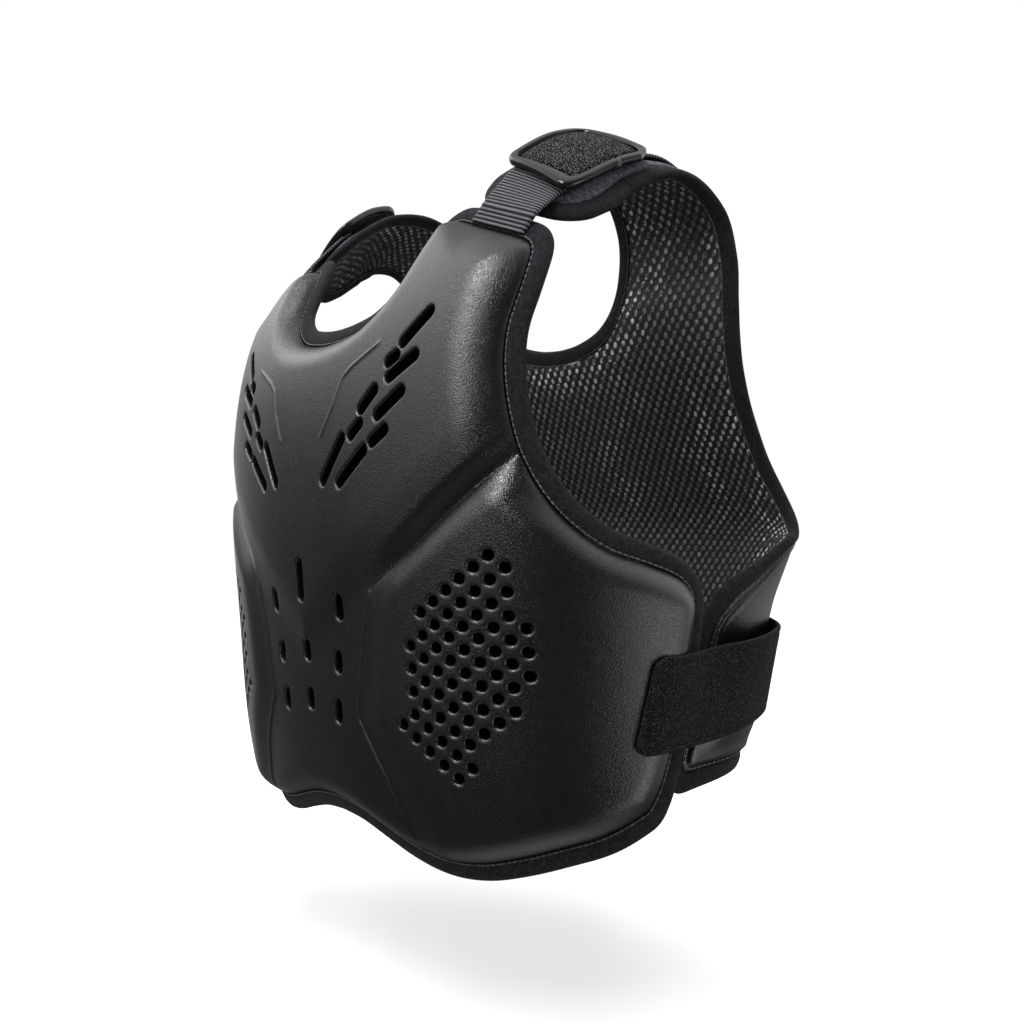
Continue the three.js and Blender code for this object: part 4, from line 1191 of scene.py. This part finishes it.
def keeper_strap():
    """Band from under the buckle's rear bar down the back of the shoulder, between two lines."""
    start = on_strap(np.array([-KEEPER_HALF, KEEPER_HALF]), KEEPER_START)[:, :2]
    t = np.linspace(0, 1, KEEPER_ROWS)[:, None, None]
    share = np.linspace(0, 1, KEEPER_COLUMNS)[None, :, None]
    ends = start * (1 - t) + KEEPER_END * t
    grid = ends[:, :1] * (1 - share) + ends[:, 1:] * share
    return soft_band(grid, WEBBING_LIFT, WEBBING, KEEPER_HALF, KEEPER_LENGTH)


webbings = make_pair("webbing", ribbed_webbing(), webbing_cloth, "shoulder_webbing")
keepers = make_pair("keeper", keeper_strap(), webbing_cloth, "keeper_strap")
loop_pads = make_pair("strap_end", strap_end(), hook_cloth, "loop_pad")

# %% Ring buckles
BUCKLE_BAR = (2.9, 2.5)
BUCKLE_CORNER = 7.0
BUCKLE_ARC, BUCKLE_STEP = 9, 1.4
BAR_POINTS = 18
BAR_POWER = 0.7             # 1 would be an oval bar, less is squarer


def ring_buckle():
    """A squarish bar carried round a rounded rectangle that follows the shoulder."""
    x, y = np.array(BUCKLE_HALF) - BUCKLE_CORNER
    turn = np.linspace(0, math.pi / 2, BUCKLE_ARC)
    corners = []
    for quarter, middle in enumerate([(x, y), (-x, y), (-x, -y), (x, -y)]):
        angle = turn + quarter * math.pi / 2
        corners.append(middle + BUCKLE_CORNER * np.stack([np.cos(angle), np.sin(angle)], -1))
    path = evenly(np.concatenate(corners), BUCKLE_STEP)
    angle = np.arange(BAR_POINTS) * 2 * math.pi / BAR_POINTS
    circle = np.stack([np.cos(angle), np.sin(angle)], -1)
    bar = BUCKLE_BAR * np.sign(circle) * np.abs(circle) ** BAR_POWER
    flat = path[:, None] - inward(path)[:, None] * bar[None, :, :1]
    drawn = on_strap(flat[..., 0], flat[..., 1])
    return tube(back.lifted(drawn[..., :2], drawn[..., 2] + bar[None, :, 1]), drawn[..., :2])


make_pair("buckle", ring_buckle(), plastic, "ring_buckle")

# %% [markdown]
# ## Side straps
# A wide strap lies on the plate's side, stands off the back's wing and goes round to be sewn on
# behind. It is a sheet between two edge lines, with round corners at its free end and a sewn border.

# %% Side straps
STRAP_TOP, STRAP_BOTTOM = -273.5, -323.5
STRAP = 2.4
STRAP_SLANT = 13.0
STRAP_LIFT = 1.2
STRAP_FRONT = (204.5, 213.0, 222.0)
STRAP_SPAN_HIGH = ((200, 2, 1), (203, 29.5, 3.5), (195, 57.5, 6), (177.5, 83.5, 7))
STRAP_SPAN_LOW = ((198, 1, 1), (195.5, 27.5, 3.5), (187, 52.5, 6), (171, 78, 7))
STRAP_BACK = (150.0, 132.0, 114.0)
STRAP_RISE = 7.0
STRAP_CORNER = 7.0
STRAP_WALK = 400                        # points on each edge line
STRAP_CORNER_ROWS, STRAP_ROWS, STRAP_COLUMNS = 12, 110, 41
STRAP_HEM = (0.5, 3.6, 0.4, 1.2)        # the sewn border's depth, its place from the rim, half widths
STRAP_RIM = (0.35, 0.05, 1.4)           # share of the thickness at the rim, start and width of its round
BACK_RUNS = np.arange(0, 300, 0.5)


def back_run_at(height):
    """Run up the back at which its centre line has a given height."""
    return np.interp(height, track(back.run, back.z, BACK_RUNS), BACK_RUNS)


def strap_edge(height, slant, across_gap):
    """One edge of the strap: on the plate, across the gap, and on the back pad."""
    flat = np.array([(girth + slant, height) for girth in STRAP_FRONT])
    start = front.lifted(flat, plate_thickness(flat) + STRAP_LIFT)
    span = np.array([(x, y, height + rise) for x, y, rise in across_gap], float)
    behind = np.array([(girth, back_run_at(height + STRAP_RISE)) for girth in STRAP_BACK])
    end = back.lifted(behind, BACK_PAD + STRAP_LIFT)
    return np.concatenate([start, span, end])


def side_strap():
    """Grid between the two edges; near the free end its width follows a quarter circle."""
    high, at = spline(strap_edge(STRAP_TOP, STRAP_SLANT, STRAP_SPAN_HIGH), STRAP_WALK)
    low, _ = spline(strap_edge(STRAP_BOTTOM, 0.0, STRAP_SPAN_LOW), STRAP_WALK)
    corner = STRAP_CORNER * (1 - np.cos(np.linspace(0, math.pi / 2, STRAP_CORNER_ROWS)))
    along = np.concatenate([corner[:-1], np.linspace(STRAP_CORNER, at[-1], STRAP_ROWS)])
    half = (STRAP_TOP - STRAP_BOTTOM) / 2
    width = half - STRAP_CORNER + STRAP_CORNER * quarter_round(along, STRAP_CORNER)
    shares = np.sin(np.linspace(-math.pi / 2, math.pi / 2, STRAP_COLUMNS))
    across = width[:, None] * shares[None, :]
    t = (0.5 + across / (2 * half))[..., None]
    high, low = read_line(high, at, along), read_line(low, at, along)
    lower = low[:, None] * (1 - t) + high[:, None] * t
    normal = unit(np.cross(np.gradient(high + low, axis=0), (0, 0, 1)))
    rim = np.minimum(width[:, None] * (1 - np.abs(shares))[None, :], along[:, None])
    depth, place, *fade = STRAP_HEM
    hem = depth * (1 - smoothstep(np.abs(rim - place), *fade))
    least, start, reach = STRAP_RIM
    rise = STRAP * (least + (1 - least) * quarter_round(rim + start, reach)) - hem
    upper = lower + normal[:, None] * rise[..., None]
    uv = np.stack([np.broadcast_to(along[:, None], across.shape), across], -1)
    return slab(lower, upper, uv)


straps = make_pair("side_strap_cover", side_strap(), loop_cloth, "side_strap")

# %% [markdown]
# ## Cloth sizes
# The nets and straps are sheets of cloth. A net's cut is its seam on the flat pattern, and its size and
# area are printed. A strap's is the width and length of its own cloth coordinates, which are read but
# not used. The tape is a solid roll here, so it has no cut.

# %% Cloth sizes
def declare_net(piece, seam):
    """Prints the size and area of a net cut along a flat seam; the area is half the sum of the cross
    products of its corners.
    """
    ahead = np.roll(seam, -1, axis=0)
    area = abs((seam[:, 0] * ahead[:, 1] - ahead[:, 0] * seam[:, 1]).sum()) / 2
    width, length = np.ptp(seam, axis=0) * MM
    area * MM * MM
    print(piece.name, "cut", round(width, 3), "x", round(length, 3), "m,", round(area * MM * MM, 4), "m2")


def declare_strap(piece):
    """Reads a strap's cloth coordinates, whose span is its cut; nothing is done with them."""
    layer = piece.data.uv_layers["flat"]
    flat = np.zeros(2 * len(layer.data))
    layer.data.foreach_get("uv", flat)


declare_net(front_net, front_seam)
declare_net(back_net, back_seam)
for webbing, keeper, strap, cover in zip(webbings, keepers, straps, covers):
    declare_strap(webbing)
    declare_strap(keeper)
    declare_strap(strap)

# %% [markdown]
# ## Light and floor
# The guard floats over a pale floor in a white studio. Black skin shows almost nothing but what it
# mirrors, so the surround has two faces: even white for the camera and for matt cloth, and dark with
# soft boxes painted on it for mirrored rays. Three small bright ones in front, one above the other,
# draw the ridge along the arm. Wide dim ones at the left shade the chest and the neck, and one low at
# the right draws the far edge of the ribs. A lamp overhead shades the cloth and casts the shadow.

# %% Floor, surround and lamp
FLOOR_LEVEL = -482.0
FLOOR_REACH = 30000.0
FLOOR_BOUNCE = 0.3      # the floor's white would wash out the black cloth, so it bounces less light


def studio_floor():
    """A wide pale plane under the guard, white to the camera, unseen in mirrors, greyer as a bounce."""
    mesh = bpy.data.meshes.new("floor")
    corners = np.array([(-1, -1, 0), (1, -1, 0), (1, 1, 0), (-1, 1, 0)]) * FLOOR_REACH
    mesh.from_pydata(((corners + (0, 0, FLOOR_LEVEL)) * MM).tolist(), [], [(0, 1, 2, 3)])
    floor = bpy.data.objects.new("floor", mesh)
    bpy.context.scene.collection.objects.link(floor)
    white = {"Base_Color": (1, 1, 1, 1), "Roughness": 0.9, "Specular_IOR_Level": 0.0}
    material, shader, place, _ = new_material("floor", **white)
    tree = place.tree
    seen = Wire(tree, tree.nodes.new("ShaderNodeLightPath").outputs["Is Camera Ray"])
    grey = (FLOOR_BOUNCE, FLOOR_BOUNCE, FLOOR_BOUNCE, 1)
    dim = place.node("ShaderNodeBsdfDiffuse", None, {"Color": grey})
    pale = Wire(tree, shader.outputs[0])
    mixed = place.node("ShaderNodeMixShader", None, {0: seen, 1: dim, 2: pale})
    tree.links.new(mixed.socket, tree.nodes["Material Output"].inputs["Surface"])
    mesh.materials.append(material)
    floor.visible_glossy = False


def panel_light(name, place, size, power, turn):
    """Rectangular soft light for matt cloth and the shadow, in millimetres and watts, facing down."""
    data = bpy.data.lights.new(name, "AREA")
    data.shape = "RECTANGLE"
    data.size, data.size_y = size[0] * MM, size[1] * MM
    data.energy = power
    lamp = bpy.data.objects.new(name, data)
    bpy.context.scene.collection.objects.link(lamp)
    lamp.location = Vector(place) * MM
    lamp.rotation_euler = (0, 0, math.radians(turn))
    lamp.visible_glossy = False


def towards(azimuth, height):
    """Unit vector to a compass angle (0 is the front, + the wearer's left) and an angle of height."""
    azimuth, height = math.radians(azimuth), math.radians(height)
    return (math.sin(azimuth) * math.cos(height), -math.cos(azimuth) * math.cos(height), math.sin(height))


SOFT_BOXES = [
    # azimuth, height, reach in degrees, brightness
    (4, 48, 14, 38.0),
    (9, 27, 13, 13.0),
    (2, 8, 14, 5.0),
    (-45, 38, 34, 2.0),
    (-25, 16, 32, 0.9),
    (-82, 36, 27, 2.7),
    (0, 90, 50, 1.6),
    (108, -22, 32, 3.7),
    (160, 25, 60, 1.6),
    (-112, 8, 40, 0.8),
    (0, -90, 45, 0.8),
]
DARK = 0.12
SOFT_BOX_POWER = 1.5    # 1 would fade a soft box evenly, more gathers it in its middle


def studio_surround():
    """White, but for mirrored rays dark with soft boxes that fade out away from their middle."""
    world = bpy.data.worlds.new("studio")
    bpy.context.scene.world = world
    world.use_nodes = True
    tree = world.node_tree
    background = tree.nodes["Background"]
    background.inputs["Color"].default_value = (1, 1, 1, 1)
    heading = Wire(tree, tree.nodes.new("ShaderNodeTexCoord").outputs["Generated"])
    mirrored_ray = Wire(tree, tree.nodes.new("ShaderNodeLightPath").outputs["Is Glossy Ray"])
    level = DARK
    for azimuth, height, reach, brightness in SOFT_BOXES:
        inputs = {0: heading, 1: towards(azimuth, height)}
        facing = heading.node("ShaderNodeVectorMath", {"operation": "DOT_PRODUCT"}, inputs, 1)
        least = math.cos(math.radians(reach))
        inside = ((facing - least) / (1 - least)).clamp()
        level = inside ** SOFT_BOX_POWER * brightness + level
    level = 1 + mirrored_ray * (level - 1)
    tree.links.new(level.socket, background.inputs["Strength"])


studio_floor()
studio_surround()
TOP_LIGHT_PLACE = (-150, -190, 1100)
TOP_LIGHT_SIZE = (400, 3200)
TOP_LIGHT_POWER = 30.0
VIEW_AZIMUTH = 51.6
panel_light("top_light", TOP_LIGHT_PLACE, TOP_LIGHT_SIZE, TOP_LIGHT_POWER, VIEW_AZIMUTH)
bpy.context.scene.view_settings.view_transform = "Standard"
